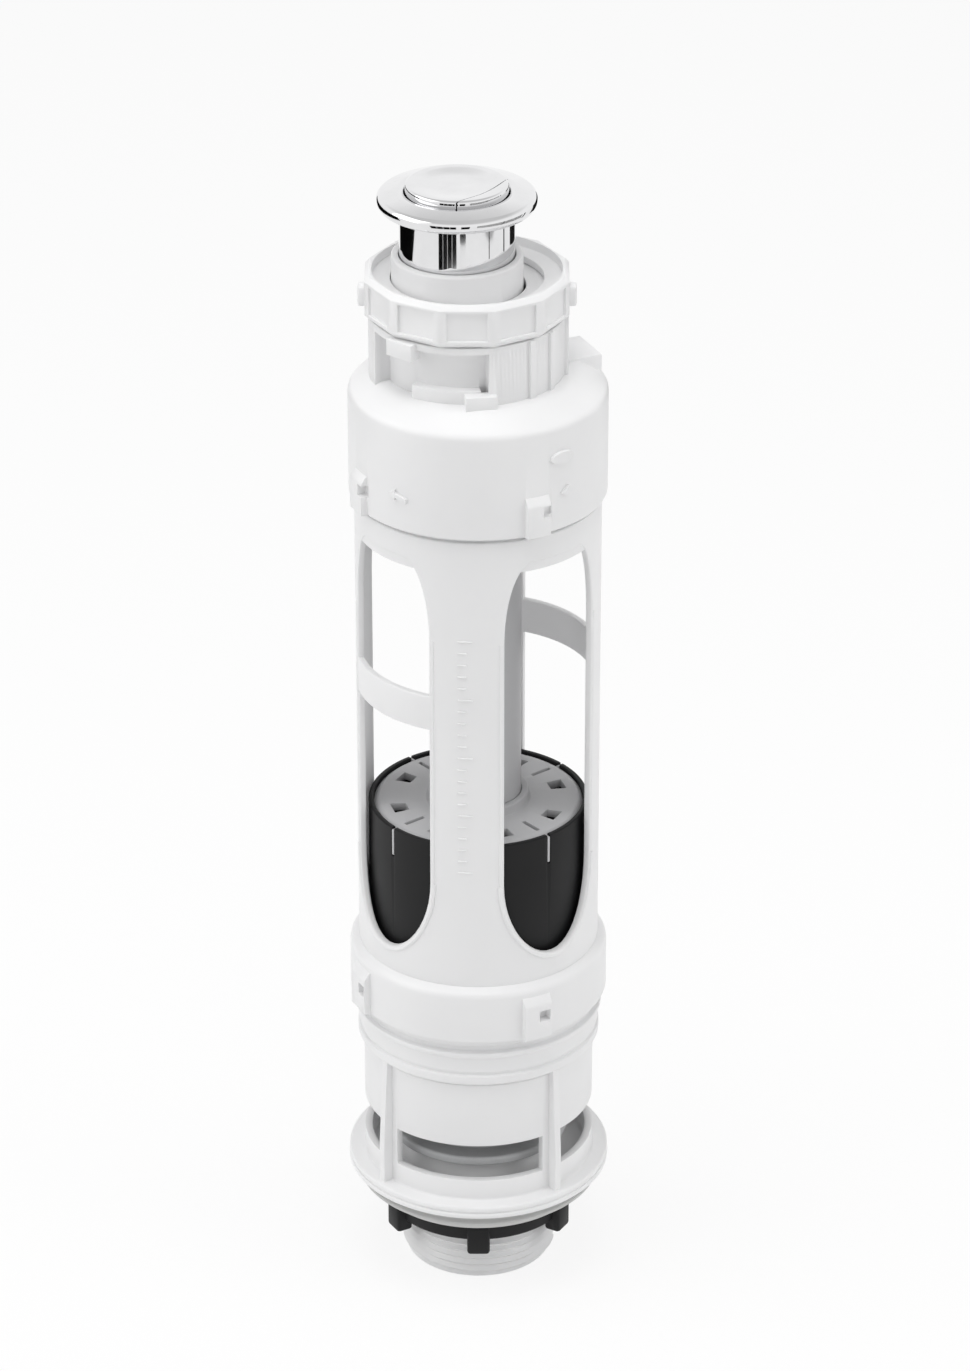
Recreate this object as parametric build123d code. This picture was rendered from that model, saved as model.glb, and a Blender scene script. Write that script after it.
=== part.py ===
"""Dual-flush valve for a toilet cistern.

A threaded tail clamps the base through the cistern floor. A caged shaft stands on the base and
carries a cap with the lever work, a collar with a clamping nut, and a two-part push button.
Either button drives a rod down onto a rocker, and the rocker lifts the overflow tube with its
seal and float off the seat.

Millimetres. +Z is up, and z = 0 is the lower end of the threaded tail, on the axis of the shaft.
An angle is counted from the front (-Y) towards the right (+X).
"""
from build123d import *
from math import asin, atan2, cos, degrees, pi, radians, sin, sqrt
import os

# Clearances
turning_gap = 0.08
sliding_gap = 0.2
free_gap = 0.3
seated_gap = 0.05

# The shaft's radius, from which the flange, drum, collar, cage and cap take theirs
shaft_r = 36.2

# Threaded tail, flange and outlet
tail_length = 32.0
tail_root_r = 22.4
tail_wall = 1.9
tail_lead_in = 0.8
thread_depth = 1.5
flange_over_shaft = 3.8
flange_thick = 4.0
flange_edge = 0.8

# Drum with its four inlet windows
drum_under_shaft = 1.2
drum_wall = 2.2
drum_height = 42.3
inlet_sill = 6.7
inlet_height = 12.3
inlet_span = 79.0
fin_thick = 2.2
fin_reach = 3.2

# Valve seat
seat_height = 7.0
seat_land = 2.6
seat_slope = 2.4

# Collar that the cage twists onto
step_ring_reach = 1.8
step_ring_height = 2.7
step_ring_edge = 0.6
collar_over_shaft = 0.3
collar_wall = 2.2
collar_shown = 12.4
collar_engaged = 13.6
bead_reach = 1.1
bead_height = 1.2
bead_flank = 0.8
collar_lead_in = 0.4

# Bayonet of the cage's foot and of the cap
bayonet_angle = 32.0
bayonet_twist = 12.0
lug_span = 10.0
lug_slack_turn = 1.0
lug_height = 6.0
lug_lift = 4.6
pocket_width = 9.0
pocket_hole = 3.6
pocket_sill = 1.2
pocket_slope = 2.4
pocket_bite = 0.6
pocket_drop = 2.0
foot_sight_turn = 3.0
cap_sight_turn = 4.5
groove_wall = 0.7

# Washer and nut under the flange
washer_thick = 7.9
washer_under_flange = 3.0
washer_taper = 4.0
washer_edge = 0.8
nut_wall = 6.1
nut_ring_height = 6.5
nut_gap_to_washer = 0.5
nut_lug_count = 6
nut_lug_width = 7.0
nut_lug_reach = 2.2
nut_lug_drop = 4.0
nut_lug_shy = 0.6
nut_edge = 0.6
nut_lug_edge = 0.8

# Cage
cage_wall = 2.0
foot_wall = 2.1
foot_shoulder = 2.1
foot_slope = 2.1
foot_pocket_reach = 1.7
foot_edge = 0.9
window_rise = 9.6
window_height = 131.0
window_span = 54.5
window_foot_rise = 26.0
window_corner_width = 8.0
window_corner_drop = 25.0
lip_width = 1.8
lip_height = 0.5
band_over_sill = 77.0
band_height = 11.0
banded_window_angles = (135, 315)
cage_head = 8.7
spigot_inset = 0.6
spigot_length = 16.0
head_taper = 3.0

# Guide ring for the overflow tube, snapped between the cage's columns
guide_wall = 2.2
guide_under_crown = 2.5
guide_height = 4.0
guide_arm = 2.6
guide_seat = 1.0

# Cap, and the tower above it
cap_over_shaft = 1.6
cap_side = 32.2
cap_edge = 1.6
dome_rise = 5.5
dome_reach = 9.3
cap_top_wall = 1.9
ceiling_inset = 0.5
cap_pocket_reach = 1.7
cap_pocket_height = 13.5
cap_foot_edge = 0.5
tower_offset = -3.15
tower_over_spigot = 2.5
tower_wall = 1.8
tower_height = 17.8
tower_deck = 2.0
core_wall = 1.8
spigot_wall = 3.85
spigot_height = 6.2
tower_gap_from = -62.0
tower_gap_to = 18.5
tower_rib_angles = (45.5, 62.0, 86.0, 112.0, 140.0, 168.0, 196.0, 224.0, 252.0)
tower_rib_width = 1.8
tower_rib_reach = 0.9
tower_root = 2.5
gap_web = 1.8
gap_step_angle = -8.0
gap_step_span = 44.0
gap_step_rise = 4.0
gap_step_inset = 1.5
gap_corner_angle = 13.5
gap_corner_width = 9.0
gap_corner_reach = 2.0
gap_corner_rise = 3.5
tongue_angle = -34.0
tongue_width = 9.0
tongue_reach = 2.0
tongue_drop = 5.0
shelf_angle = 120.0
shelf_width = 15.0
shelf_reach = 7.5
shelf_rise = 0.6
shelf_depth = 10.5

# Clamping nut on the tower
clamp_over_tower = 1.8
clamp_sides = 12
clamp_height = 12.9
clamp_web = 2.0
clamp_rim = 2.9
clamp_panel_depth = 0.8
clamp_panel_share = 0.74
clamp_chamfer = 1.4
clamp_wing_angles = (-90.0, 90.0)
clamp_wing_width = 4.6
clamp_wing_reach = 1.1
clamp_wing_drop = 5.1
clamp_wing_foot = 1.6
clamp_wing_edge = 0.7
clamp_panel_edge = 0.8
clamp_turn = 5.5

# Offset neck, chrome sleeve and rosette
head_offset = -6.0
neck_r = 19.0
neck_above_flange = 9.5
neck_below_flange = 17.0
neck_flange_thick = 2.0
ledge_thick = 2.0
ledge_reach = 2.6
sleeve_r = 16.7
sleeve_wall = 1.5
sleeve_engaged = 16.8
sleeve_shown = 14.5
rosette_reach = 6.4
rosette_edge = 3.9
rosette_rise = 1.1
rosette_lead_in = 0.8
rosette_lean = 0.5
rosette_mouth = 1.4
rosette_mouth_drop = 0.7
stop_bead = 1.1
stop_bead_height = 1.6
stop_bead_flank = 1.2
neck_flange_shy = 1.5
guide_plate_thick = 2.0
guide_plate_depth = 10.5
drain_angles = (130, 310)
drain_reach = 9.0
drain_r = 2.4

# Buttons and push rods
button_gap = 0.3
button_height = 6.0
button_proud = 2.0
button_dish = 0.9
button_wall = 1.3
button_top = 1.8
button_rim = 1.2
button_edge = 0.5
split_reach = 10.5
split_bow_r = 56.0
full_travel = 7.0
half_travel = 4.0
rod_r = 1.5
rod_pad_r = 2.3
rod_pad_height = 1.6
rod_spacing = 8.0
rod_collar_height = 1.5
spring_r = 2.1
spring_wire_r = 0.3
spring_wire_sides = 4
spring_length = 15.0
spring_turns = 3

# Rockers and the crown that they lift
rocker_angle = 32.0
inner_arm = 9.4
nose_r = 2.2
hub_r = 3.2
rocker_half_width = 2.2
arm_root = 1.6
arm_tip = 0.8
pin_r = 1.5
pin_head_r = 2.4
pin_head_thick = 0.8
cheek_thick = 2.0
cheek_margin = 1.5
cheek_edge = 2.0
cheek_step_share = 0.4
frame_plate = 2.0
frame_inner_r = 19.0
crown_side_gap = 1.56
crown_wall = 1.4
crown_floor = 2.0
crown_lip = 2.0
crown_lip_reach = 4.9
crown_hub_wall = 2.4
crown_hub_depth = 5.0
crown_hole_r = 5.2
crown_hole_count = 4
crown_headroom = 0.6
crown_edge = 1.0

# Overflow tube, seal and float
tube_r = 12.8
tube_wall = 1.5
foot_disc_inset = 5.5
foot_disc_thick = 2.2
foot_disc_edge = 0.8
foot_cone_reach = 2.5
foot_cone_low = 1.2
foot_cone_high = 4.0
seal_overlap = 4.4
seal_thick = 3.0
retainer_side_gap = 1.2
retainer_thick = 2.4
retainer_fins = 4
retainer_fin_thick = 1.6
retainer_fin_depth = 19.0
retainer_fin_foot = 3.5
retainer_fin_cut = 1.0
retainer_root = 0.5
retainer_hook = 1.5
retainer_hook_depth = 3.0
float_over_seal = 53.8
float_height = 57.0
float_wall = 1.5
float_floor = 2.0
float_side_gap = 1.3
float_bevel = 1.5
float_sleeve_drop = 2.0
float_cap_inset = 2.5
float_cap_thick = 2.0
float_cap_skirt = 3.0
float_cap_skirt_wall = 1.5
float_cap_bevel = 1.2
float_cap_sink = 1.0
float_cap_holes = 8
float_hole_inset = 8.4
float_hole_width = 5.2
float_hole_depth = 4.6
float_hole_near_share = 0.4
float_hole_far_share = 0.55
float_slot_length = 7.0
float_slot_width = 1.3
float_clip_depth = 9.5
float_clip_width = 1.0
hub_collar_wall = 2.6
hub_collar_height = 3.0
hub_collar_lean = 0.5

# How far a joined shape runs into its neighbour, and a cutter past a face
bite = 0.5
past = 1.0

# Radii that follow the shaft and the tail
outlet_r = tail_root_r - tail_wall
thread_crest_r = tail_root_r + thread_depth
nut_ring_r = tail_root_r + nut_wall
flange_r = shaft_r + flange_over_shaft
washer_top_r = flange_r - washer_under_flange
washer_foot_r = washer_top_r - washer_taper
drum_r = shaft_r - drum_under_shaft
collar_r = shaft_r + collar_over_shaft
cage_r = shaft_r
cap_r = shaft_r + cap_over_shaft
dome_flat_r = cap_r - dome_reach
rosette_r = sleeve_r + rosette_reach
seat_r = outlet_r + seat_land
seal_r = seat_r + seal_overlap
foot_disc_r = seal_r - foot_disc_inset
retainer_r = outlet_r - retainer_side_gap

# Heights, from the tail upwards
drum_foot = tail_length + flange_thick
drum_inner_r = drum_r - drum_wall
inlet_low = drum_foot + inlet_sill
step_low = drum_foot + drum_height
step_high = step_low + step_ring_height
cage_foot = step_high + collar_shown
collar_top = cage_foot + collar_engaged
collar_inner_r = collar_r - collar_wall
foot_top = collar_top + free_gap + foot_shoulder
foot_inner_r = collar_r + free_gap
foot_r = foot_inner_r + foot_wall
cage_inner_r = cage_r - cage_wall
window_low = foot_top + window_rise
window_high = window_low + window_height
cap_low = window_high + cage_head + free_gap
spigot_low = cap_low - free_gap
cage_top = spigot_low + spigot_length
cage_spigot_r = cage_r - spigot_inset
cage_spigot_inner_r = cage_spigot_r - cage_wall
cap_inner_r = cage_spigot_r + free_gap
shoulder_z = cap_low + cap_side
dome_z = shoulder_z + dome_rise
ceiling_z = dome_z - cap_top_wall
ceiling_flat_r = dome_flat_r - ceiling_inset
ceiling_edge_z = shoulder_z - cap_top_wall
deck_z = dome_z + tower_height
core_inner_r = neck_r + abs(head_offset - tower_offset) + free_gap
core_r = core_inner_r + core_wall
spigot_r = core_inner_r + spigot_wall
tower_r = spigot_r + tower_over_spigot
clamp_r = tower_r + clamp_over_tower
spigot_top = deck_z + spigot_height
neck_flange_top = spigot_top + neck_flange_thick
neck_top = neck_flange_top + neck_above_flange
clamp_low = deck_z + free_gap
clamp_high = clamp_low + clamp_height
web_low = neck_flange_top + free_gap
sleeve_low = neck_top - sleeve_engaged
rosette_low = neck_top + sleeve_shown
sleeve_inner_r = sleeve_r - sleeve_wall
rosette_top = rosette_low + rosette_edge + rosette_rise
button_r = sleeve_inner_r - button_gap
button_high = rosette_top + button_proud
button_low = button_high - button_height
guide_plate_low = neck_top - guide_plate_depth - guide_plate_thick
guide_plate_high = guide_plate_low + guide_plate_thick
rod_collar_low = guide_plate_high + spring_length

# Rocker work: the outer arm fills the crown, and the lift follows from the travel and the arms
rest_tilt = asin(full_travel / 2 / inner_arm)
pivot_reach = rod_spacing + inner_arm * (1 + cos(rest_tilt)) / 2
crown_r = cage_spigot_inner_r - crown_side_gap
crown_inner_r = crown_r - crown_wall
rocker_reach = sqrt((crown_inner_r - free_gap) ** 2 - rocker_half_width**2)
outer_arm = rocker_reach - nose_r - pivot_reach
valve_lift = full_travel * outer_arm / inner_arm
half_lift = half_travel * outer_arm / inner_arm
half_pivot_drop = half_lift + free_gap
ceiling_fall = (ceiling_z - ceiling_edge_z) / (cap_inner_r - ceiling_flat_r)
ceiling_over_crown = ceiling_z - (crown_r - ceiling_flat_r) * ceiling_fall
nose_to_lip = outer_arm * sin(rest_tilt) - nose_r - free_gap
full_pivot_z = ceiling_over_crown - crown_headroom - valve_lift - crown_lip + nose_to_lip
half_pivot_z = full_pivot_z - half_pivot_drop
lip_low = full_pivot_z - nose_to_lip
inner_nose_rise = inner_arm * sin(rest_tilt) + nose_r + free_gap
outer_nose_fall = outer_arm * sin(rest_tilt) + nose_r
crown_floor_top = half_pivot_z - outer_nose_fall - valve_lift - crown_headroom
guide_high = crown_floor_top - crown_hub_depth - guide_under_crown
guide_low = guide_high - guide_height
seat_top = drum_foot + seat_height
seal_low = seat_top + sliding_gap
seal_high = seal_low + seal_thick
float_low = seal_high + float_over_seal
float_top = float_low + float_height
float_r = cage_inner_r - float_side_gap
float_hole_r = float_r - float_hole_inset
tube_fit_r = tube_r + seated_gap

ON_FLOOR = (Align.CENTER, Align.CENTER, Align.MIN)
TOWER_AXIS = (tower_offset, 0.0)
HEAD_AXIS = (head_offset, 0.0)


def disc(radius, low, high, centre=(0.0, 0.0)):
    """A round solid between two heights."""
    return Pos(centre[0], centre[1], low) * Cylinder(radius, high - low, align=ON_FLOOR)


def sleeve(outer, inner, low, high, centre=(0.0, 0.0)):
    """A round tube between two heights."""
    return disc(outer, low, high, centre) - disc(inner, low - past, high + past, centre)


def outline(points, bevels=()):
    """A closed face through the points, with the named corners bevelled."""
    face = make_face(Polyline(*points, close=True))
    for corner, length in bevels:
        nearest = face.vertices().sort_by_distance((corner[0], corner[1], 0))[0]
        face = chamfer(nearest, length)
    return face


def turned(points, bevels=(), centre=(0.0, 0.0)):
    """The outline, given as radius and height, turned about a vertical axis."""
    return Pos(centre[0], centre[1], 0) * revolve(Plane.XZ * outline(points, bevels), Axis.Z)


def around(angle, shape, centre=(0.0, 0.0)):
    """The shape, made at the front, carried round a vertical axis by the angle."""
    return Pos(centre[0], centre[1], 0) * Rot(0, 0, angle) * shape


def sector(outer, inner, low, high, middle, span, centre=(0.0, 0.0)):
    """Part of a ring, its middle at the given angle."""
    profile = outline([(inner, low), (outer, low), (outer, high), (inner, high)])
    piece = revolve(Plane.XZ * profile, Axis.Z, span)
    return around(middle - 90 - span / 2, piece, centre)


def front_block(width, near, far, low, high):
    """A box that reaches from one radius to another at the front."""
    return Pos(0, -(near + far) / 2, low) * Box(width, far - near, high - low, align=ON_FLOOR)


def quarters(first):
    """Four angles, a right angle apart."""
    return [first + 90 * turn for turn in range(4)]


def on_rocker_line(reach, side):
    """The plan position at a reach from the axis along the rockers, side +1 or -1."""
    angle = radians(rocker_angle)
    return (side * reach * sin(angle), -side * reach * cos(angle))


def base_body():
    """Tail, flange, seat, drum and collar, moulded in one."""
    bead_top = cage_foot - free_gap
    shell = turned(
        [
            (outlet_r, 0),
            (tail_root_r - tail_lead_in, 0),
            (tail_root_r, tail_lead_in),
            (tail_root_r, tail_length),
            (flange_r, tail_length),
            (flange_r, drum_foot),
            (drum_r, drum_foot),
            (drum_r, step_low),
            (drum_r + step_ring_reach, step_low),
            (drum_r + step_ring_reach, step_high),
            (collar_r, step_high + collar_lead_in),
            (collar_r, bead_top - bead_height),
            (collar_r + bead_reach, bead_top - bead_flank),
            (collar_r + bead_reach, bead_top),
            (collar_r, bead_top),
            (collar_r, collar_top),
            (collar_inner_r, collar_top),
            (collar_inner_r, step_high),
            (drum_inner_r, step_low),
            (drum_inner_r, drum_foot),
            (seat_r + seat_slope, drum_foot),
            (seat_r, seat_top),
            (outlet_r + seat_slope / 2, seat_top),
            (outlet_r, seat_top - seat_slope / 2),
        ],
        [
            ((flange_r, tail_length), flange_edge),
            ((flange_r, drum_foot), flange_edge),
            ((drum_r + step_ring_reach, step_low), step_ring_edge),
            ((drum_r + step_ring_reach, step_high), step_ring_edge),
        ],
    )
    body = shell
    for angle in quarters(0):
        inlet_high = inlet_low + inlet_height
        body -= sector(drum_r + past, drum_inner_r - past, inlet_low, inlet_high, angle, inlet_span)
    fin_face = outline(
        [
            (drum_inner_r + drum_wall / 2, drum_foot - bite),
            (drum_r + fin_reach, drum_foot - bite),
            (drum_r + fin_reach, drum_foot + inlet_height),
            (drum_r + step_ring_reach, step_low + bite),
            (drum_inner_r + drum_wall / 2, step_low + bite),
        ]
    )
    fin = extrude(Plane.XZ * fin_face, amount=fin_thick / 2, both=True)
    lug_low = cage_foot + lug_lift
    lug_tip = foot_r - groove_wall - sliding_gap
    for angle in quarters(45):
        body += around(angle - 90, fin)
    for angle in quarters(bayonet_angle):
        body += sector(lug_tip, collar_r - bite, lug_low, lug_low + lug_height, angle, lug_span)
    return body


def bayonet_groove(inner, outer, mouth, lug_low, angle):
    """The way of one lug: in through the mouth, up, then round to the locked place."""
    span = lug_span + lug_slack_turn
    low = lug_low - free_gap
    high = lug_low + lug_height + free_gap
    run = sector(outer, inner, low, high, angle - bayonet_twist / 2, span + bayonet_twist)
    entry = sector(outer, inner, mouth - past, high, angle - bayonet_twist, span)
    return run + entry


def pocket_block(skin, reach, low, high):
    """A block on the outside over a locked lug, with a sloped top, at the front."""
    near = skin - pocket_bite
    far = skin + reach
    face = outline([(near, low), (far, low), (far, high - pocket_slope), (skin, high), (near, high)])
    block = extrude(Plane.XZ * face, amount=pocket_width / 2, both=True)
    return Rot(0, 0, -90) * block


def sight_hole(near, far, lug_low):
    """A square hole through a pocket block that shows the locked lug, at the front."""
    low = lug_low + pocket_sill
    return front_block(pocket_hole, near - bite, far + past, low, low + pocket_hole)


def sealing_washer():
    """Soft tapered washer between the flange and the cistern floor."""
    low = tail_length - washer_thick
    inner = thread_crest_r + sliding_gap
    return turned(
        [(inner, low), (washer_foot_r, low), (washer_top_r, tail_length), (inner, tail_length)],
        [((washer_foot_r, low), washer_edge)],
    )


def back_nut():
    """Ring nut on the tail, with six grips that hang below it."""
    high = tail_length - washer_thick - nut_gap_to_washer
    low = high - nut_ring_height
    nut = turned(
        [
            (tail_root_r + turning_gap, low),
            (nut_ring_r, low),
            (nut_ring_r, high),
            (tail_root_r + turning_gap, high),
        ],
        [((nut_ring_r, low), nut_edge), ((nut_ring_r, high), nut_edge)],
    )
    far = nut_ring_r + nut_lug_reach
    near = (nut_ring_r + tail_root_r) / 2
    grip = front_block(nut_lug_width, near, far, low - nut_lug_drop, high - nut_lug_shy)
    grip = chamfer(grip.edges().filter_by(Axis.Z).sort_by(Axis.Y)[:2], nut_lug_edge)
    for turn in range(nut_lug_count):
        nut += around(turn * 360 / nut_lug_count, grip)
    return nut


def window_face(half_width, low, high, foot_rise):
    """A tall window: a half ellipse at the foot and drawn-out corners at the head."""
    spring = low + foot_rise
    drop = high - window_corner_drop
    inner = half_width - window_corner_width
    edges = [
        EllipticalCenterArc((0, spring), half_width, foot_rise, 180, arc_size=180),
        Line((half_width, spring), (half_width, drop)),
        EllipticalCenterArc((inner, drop), window_corner_width, window_corner_drop, 0, arc_size=90),
        Line((inner, high), (-inner, high)),
        EllipticalCenterArc((-inner, drop), window_corner_width, window_corner_drop, 90, arc_size=90),
        Line((-half_width, drop), (-half_width, spring)),
    ]
    return make_face(edges)


def cage():
    """Open shaft with four windows, a foot that twists onto the base and a spigot for the cap."""
    shell = turned(
        [
            (foot_inner_r, cage_foot),
            (foot_r, cage_foot),
            (foot_r, foot_top),
            (cage_r, foot_top + foot_slope),
            (cage_r, spigot_low),
            (cage_spigot_r, spigot_low),
            (cage_spigot_r, cage_top),
            (cage_spigot_inner_r, cage_top),
            (cage_spigot_inner_r, guide_low - guide_seat),
            (cage_inner_r, guide_low - guide_seat - head_taper),
            (cage_inner_r, collar_top + free_gap),
            (foot_inner_r, collar_top + free_gap),
        ],
        [((foot_r, foot_top), foot_edge)],
    )
    half_chord = cage_r * sin(radians(window_span / 2))
    hole = window_face(half_chord, window_low, window_high, window_foot_rise)
    rim = window_face(
        half_chord + lip_width, window_low - lip_width, window_high, window_foot_rise + lip_width
    )
    rim_band = sleeve(
        cage_r + lip_height, cage_inner_r + bite, window_low - lip_width - past, window_low + window_foot_rise
    )
    lip = extrude(Plane.XZ * rim, amount=foot_r + past) & rim_band
    cutter = extrude(Plane.XZ * hole, amount=foot_r + past)
    band_low = window_low + band_over_sill
    band = front_block(3 * half_chord, -past, foot_r + 2 * past, band_low, band_low + band_height)
    for angle in quarters(45):
        shell += around(angle, lip)
    for angle in quarters(45):
        shell -= around(angle, cutter - band if angle in banded_window_angles else cutter)
    foot_block = pocket_block(foot_r, foot_pocket_reach, cage_foot, foot_top - pocket_drop)
    groove_r = foot_r - groove_wall
    lug_low = cage_foot + lug_lift
    for angle in quarters(bayonet_angle):
        shell += around(angle, foot_block)
    for angle in quarters(bayonet_angle):
        shell -= bayonet_groove(foot_inner_r - past, groove_r, cage_foot, lug_low, angle)
        shell -= around(angle + foot_sight_turn, sight_hole(groove_r, foot_r + foot_pocket_reach, lug_low))
    lug_tip = cap_r - groove_wall - sliding_gap
    lug_low = cap_low + lug_lift
    for angle in quarters(bayonet_angle):
        shell += sector(lug_tip, cage_spigot_r - bite, lug_low, lug_low + lug_height, angle, lug_span)
    return shell


def tube_guide():
    """Ring on four arms that keeps the overflow tube upright in the cage."""
    inner = tube_r + turning_gap
    guide = sleeve(inner + guide_wall, inner, guide_low, guide_high)
    arm = front_block(guide_arm, inner + guide_wall / 2, cage_r, guide_low, guide_high)
    for angle in quarters(0):
        guide += around(angle, arm)
    return guide & disc(cage_spigot_inner_r - seated_gap, guide_low, guide_high)


def cap():
    """Cover over the rockers, with the tower that carries the head moulded onto it."""
    outer = turned(
        [(0, cap_low), (cap_r, cap_low), (cap_r, shoulder_z), (dome_flat_r, dome_z), (0, dome_z)],
        [((cap_r, shoulder_z), cap_edge), ((cap_r, cap_low), cap_foot_edge)],
    )
    outer += tower()
    block = pocket_block(cap_r, cap_pocket_reach, cap_low, cap_low + cap_pocket_height)
    for angle in quarters(bayonet_angle):
        outer += around(angle, block)
    shelf_far = dome_flat_r + shelf_reach
    shelf_high = dome_z + shelf_rise
    shelf = front_block(shelf_width, shelf_far - shelf_depth, shelf_far, shoulder_z - past, shelf_high)
    outer += around(shelf_angle, shelf)
    hollow = turned(
        [
            (0, cap_low - past),
            (cap_inner_r, cap_low - past),
            (cap_inner_r, ceiling_edge_z),
            (ceiling_flat_r, ceiling_z),
            (0, ceiling_z),
        ]
    )
    body = outer - hollow - disc(core_inner_r, ceiling_z - past, spigot_top + past, TOWER_AXIS)
    groove_r = cap_r - groove_wall
    lug_low = cap_low + lug_lift
    for angle in quarters(bayonet_angle):
        body -= bayonet_groove(cap_inner_r - past, groove_r, cap_low, lug_low, angle)
        body -= around(angle + cap_sight_turn, sight_hole(groove_r, cap_r + cap_pocket_reach, lug_low))
    return body


def tower():
    """Double wall under the clamping nut, open at the front left, with ribs on the outside."""
    foot = ceiling_z - tower_root
    bore_r = core_inner_r - past
    wall = sleeve(tower_r, tower_r - tower_wall, foot, deck_z, TOWER_AXIS)
    gap_middle = (tower_gap_from + tower_gap_to) / 2
    gap_span = tower_gap_to - tower_gap_from
    gap_high = deck_z - tower_deck
    gap = sector(tower_r + past, core_r, foot - past, gap_high, gap_middle, gap_span, TOWER_AXIS)
    rib = front_block(
        tower_rib_width, tower_r - tower_wall / 2, tower_r + tower_rib_reach, foot, deck_z
    )
    for angle in tower_rib_angles:
        wall += around(angle, rib, TOWER_AXIS)
    wall -= gap
    web = front_block(gap_web, core_r - tower_wall / 2, tower_r - tower_wall / 2, foot, deck_z)
    web_turn = degrees(gap_web / 2 / core_r)
    for angle in (tower_gap_from - web_turn, tower_gap_to + web_turn):
        wall += around(angle, web, TOWER_AXIS)
    wall += sleeve(core_r, bore_r, foot, deck_z, TOWER_AXIS)
    wall += sleeve(tower_r, bore_r, deck_z - tower_deck, deck_z, TOWER_AXIS)
    wall += sleeve(spigot_r, bore_r, deck_z - bite, spigot_top, TOWER_AXIS)
    step_r = tower_r - gap_step_inset
    step_high = dome_z + gap_step_rise
    step = sector(step_r, core_r - bite, foot, step_high, gap_step_angle, gap_step_span, TOWER_AXIS)
    inside = tower_r - tower_wall
    corner = front_block(gap_corner_width, inside, tower_r + gap_corner_reach, foot, dome_z + gap_corner_rise)
    tongue = front_block(tongue_width, inside, tower_r + tongue_reach, deck_z - tongue_drop, deck_z)
    wall += step
    wall += around(gap_corner_angle, corner, TOWER_AXIS)
    wall += around(tongue_angle, tongue, TOWER_AXIS)
    return wall


def clamp_nut():
    """Ring nut with flat panels that clamps the neck's flange onto the tower."""
    blank = extrude(RegularPolygon(clamp_r, clamp_sides, rotation=180 / clamp_sides), clamp_height)
    rims = blank.faces().sort_by(Axis.Z)
    blank = chamfer(rims[0].edges() + rims[-1].edges(), clamp_chamfer)
    nut = Pos(0, 0, clamp_low) * blank
    apothem = clamp_r * cos(pi / clamp_sides)
    side = 2 * clamp_r * sin(pi / clamp_sides)
    panel = front_block(
        side * clamp_panel_share,
        apothem - clamp_panel_depth,
        clamp_r + past,
        clamp_low + clamp_chamfer + clamp_panel_edge,
        clamp_high - clamp_chamfer - clamp_panel_edge,
    )
    for turn in range(clamp_sides):
        nut -= around(turn * 360 / clamp_sides, panel)
    wing = front_block(
        clamp_wing_width, clamp_r - clamp_rim, clamp_r + clamp_wing_reach, clamp_low + clamp_wing_foot,
        clamp_high - clamp_wing_drop,
    )
    wing = chamfer(wing.edges().filter_by(Axis.Z).sort_by(Axis.Y)[:2], clamp_wing_edge)
    for angle in clamp_wing_angles:
        nut += around(angle, wing)
    nut -= disc(spigot_r + turning_gap, clamp_low - past, web_low)
    nut -= disc(clamp_r - clamp_rim, web_low + clamp_web, clamp_high + past)
    nut -= disc(core_inner_r, web_low - past, clamp_high)
    return around(clamp_turn, nut, TOWER_AXIS)


def neck():
    """Offset barrel on a flange that the nut clamps, with a ledge for the sleeve."""
    low = spigot_top - neck_below_flange
    inner = sleeve_r + sliding_gap
    body = disc(spigot_r - neck_flange_shy, spigot_top, neck_flange_top, TOWER_AXIS)
    body += disc(neck_r, low, neck_top, HEAD_AXIS)
    body -= disc(inner, sleeve_low, neck_top + past, HEAD_AXIS)
    body -= disc(inner - ledge_reach, sleeve_low - ledge_thick - past, sleeve_low + past, HEAD_AXIS)
    body -= disc(inner, low - past, sleeve_low - ledge_thick, HEAD_AXIS)
    return body


def chrome_sleeve():
    """Bright sleeve and rosette, turned in one."""
    rim_high = rosette_low + rosette_edge
    rim_middle = rosette_low + rosette_edge / 2
    return turned(
        [
            (sleeve_inner_r, sleeve_low),
            (sleeve_r, sleeve_low),
            (sleeve_r, rosette_low),
            (rosette_r - rosette_lead_in, rosette_low),
            (rosette_r, rim_middle),
            (rosette_r - rosette_lean, rim_high),
            (sleeve_inner_r + rosette_mouth, rosette_top),
            (sleeve_inner_r, rosette_top - rosette_mouth_drop),
            (sleeve_inner_r, guide_plate_high),
            (sleeve_inner_r, guide_plate_low),
            (sleeve_inner_r - stop_bead, guide_plate_low),
            (sleeve_inner_r - stop_bead, guide_plate_low - stop_bead_height),
            (sleeve_inner_r, guide_plate_low - stop_bead_height - stop_bead_flank),
        ],
        (),
        HEAD_AXIS,
    )


def button_guide():
    """Plate in the sleeve that guides both rods and carries their springs."""
    plate = disc(sleeve_inner_r - seated_gap, guide_plate_low, guide_plate_high, HEAD_AXIS)
    for side in (1, -1):
        place = on_rocker_line(rod_spacing, side)
        plate -= disc(rod_r + turning_gap, guide_plate_low - past, guide_plate_high + past, place)
    drain = disc(drain_r, guide_plate_low - past, guide_plate_high + past, (0, -drain_reach))
    for angle in drain_angles:
        plate -= around(angle, drain, HEAD_AXIS)
    return plate


def split_angle():
    """The direction from the head's axis to the half-flush rod."""
    x, y = on_rocker_line(rod_spacing, 1)
    return degrees(atan2(x - head_offset, -y))


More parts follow.
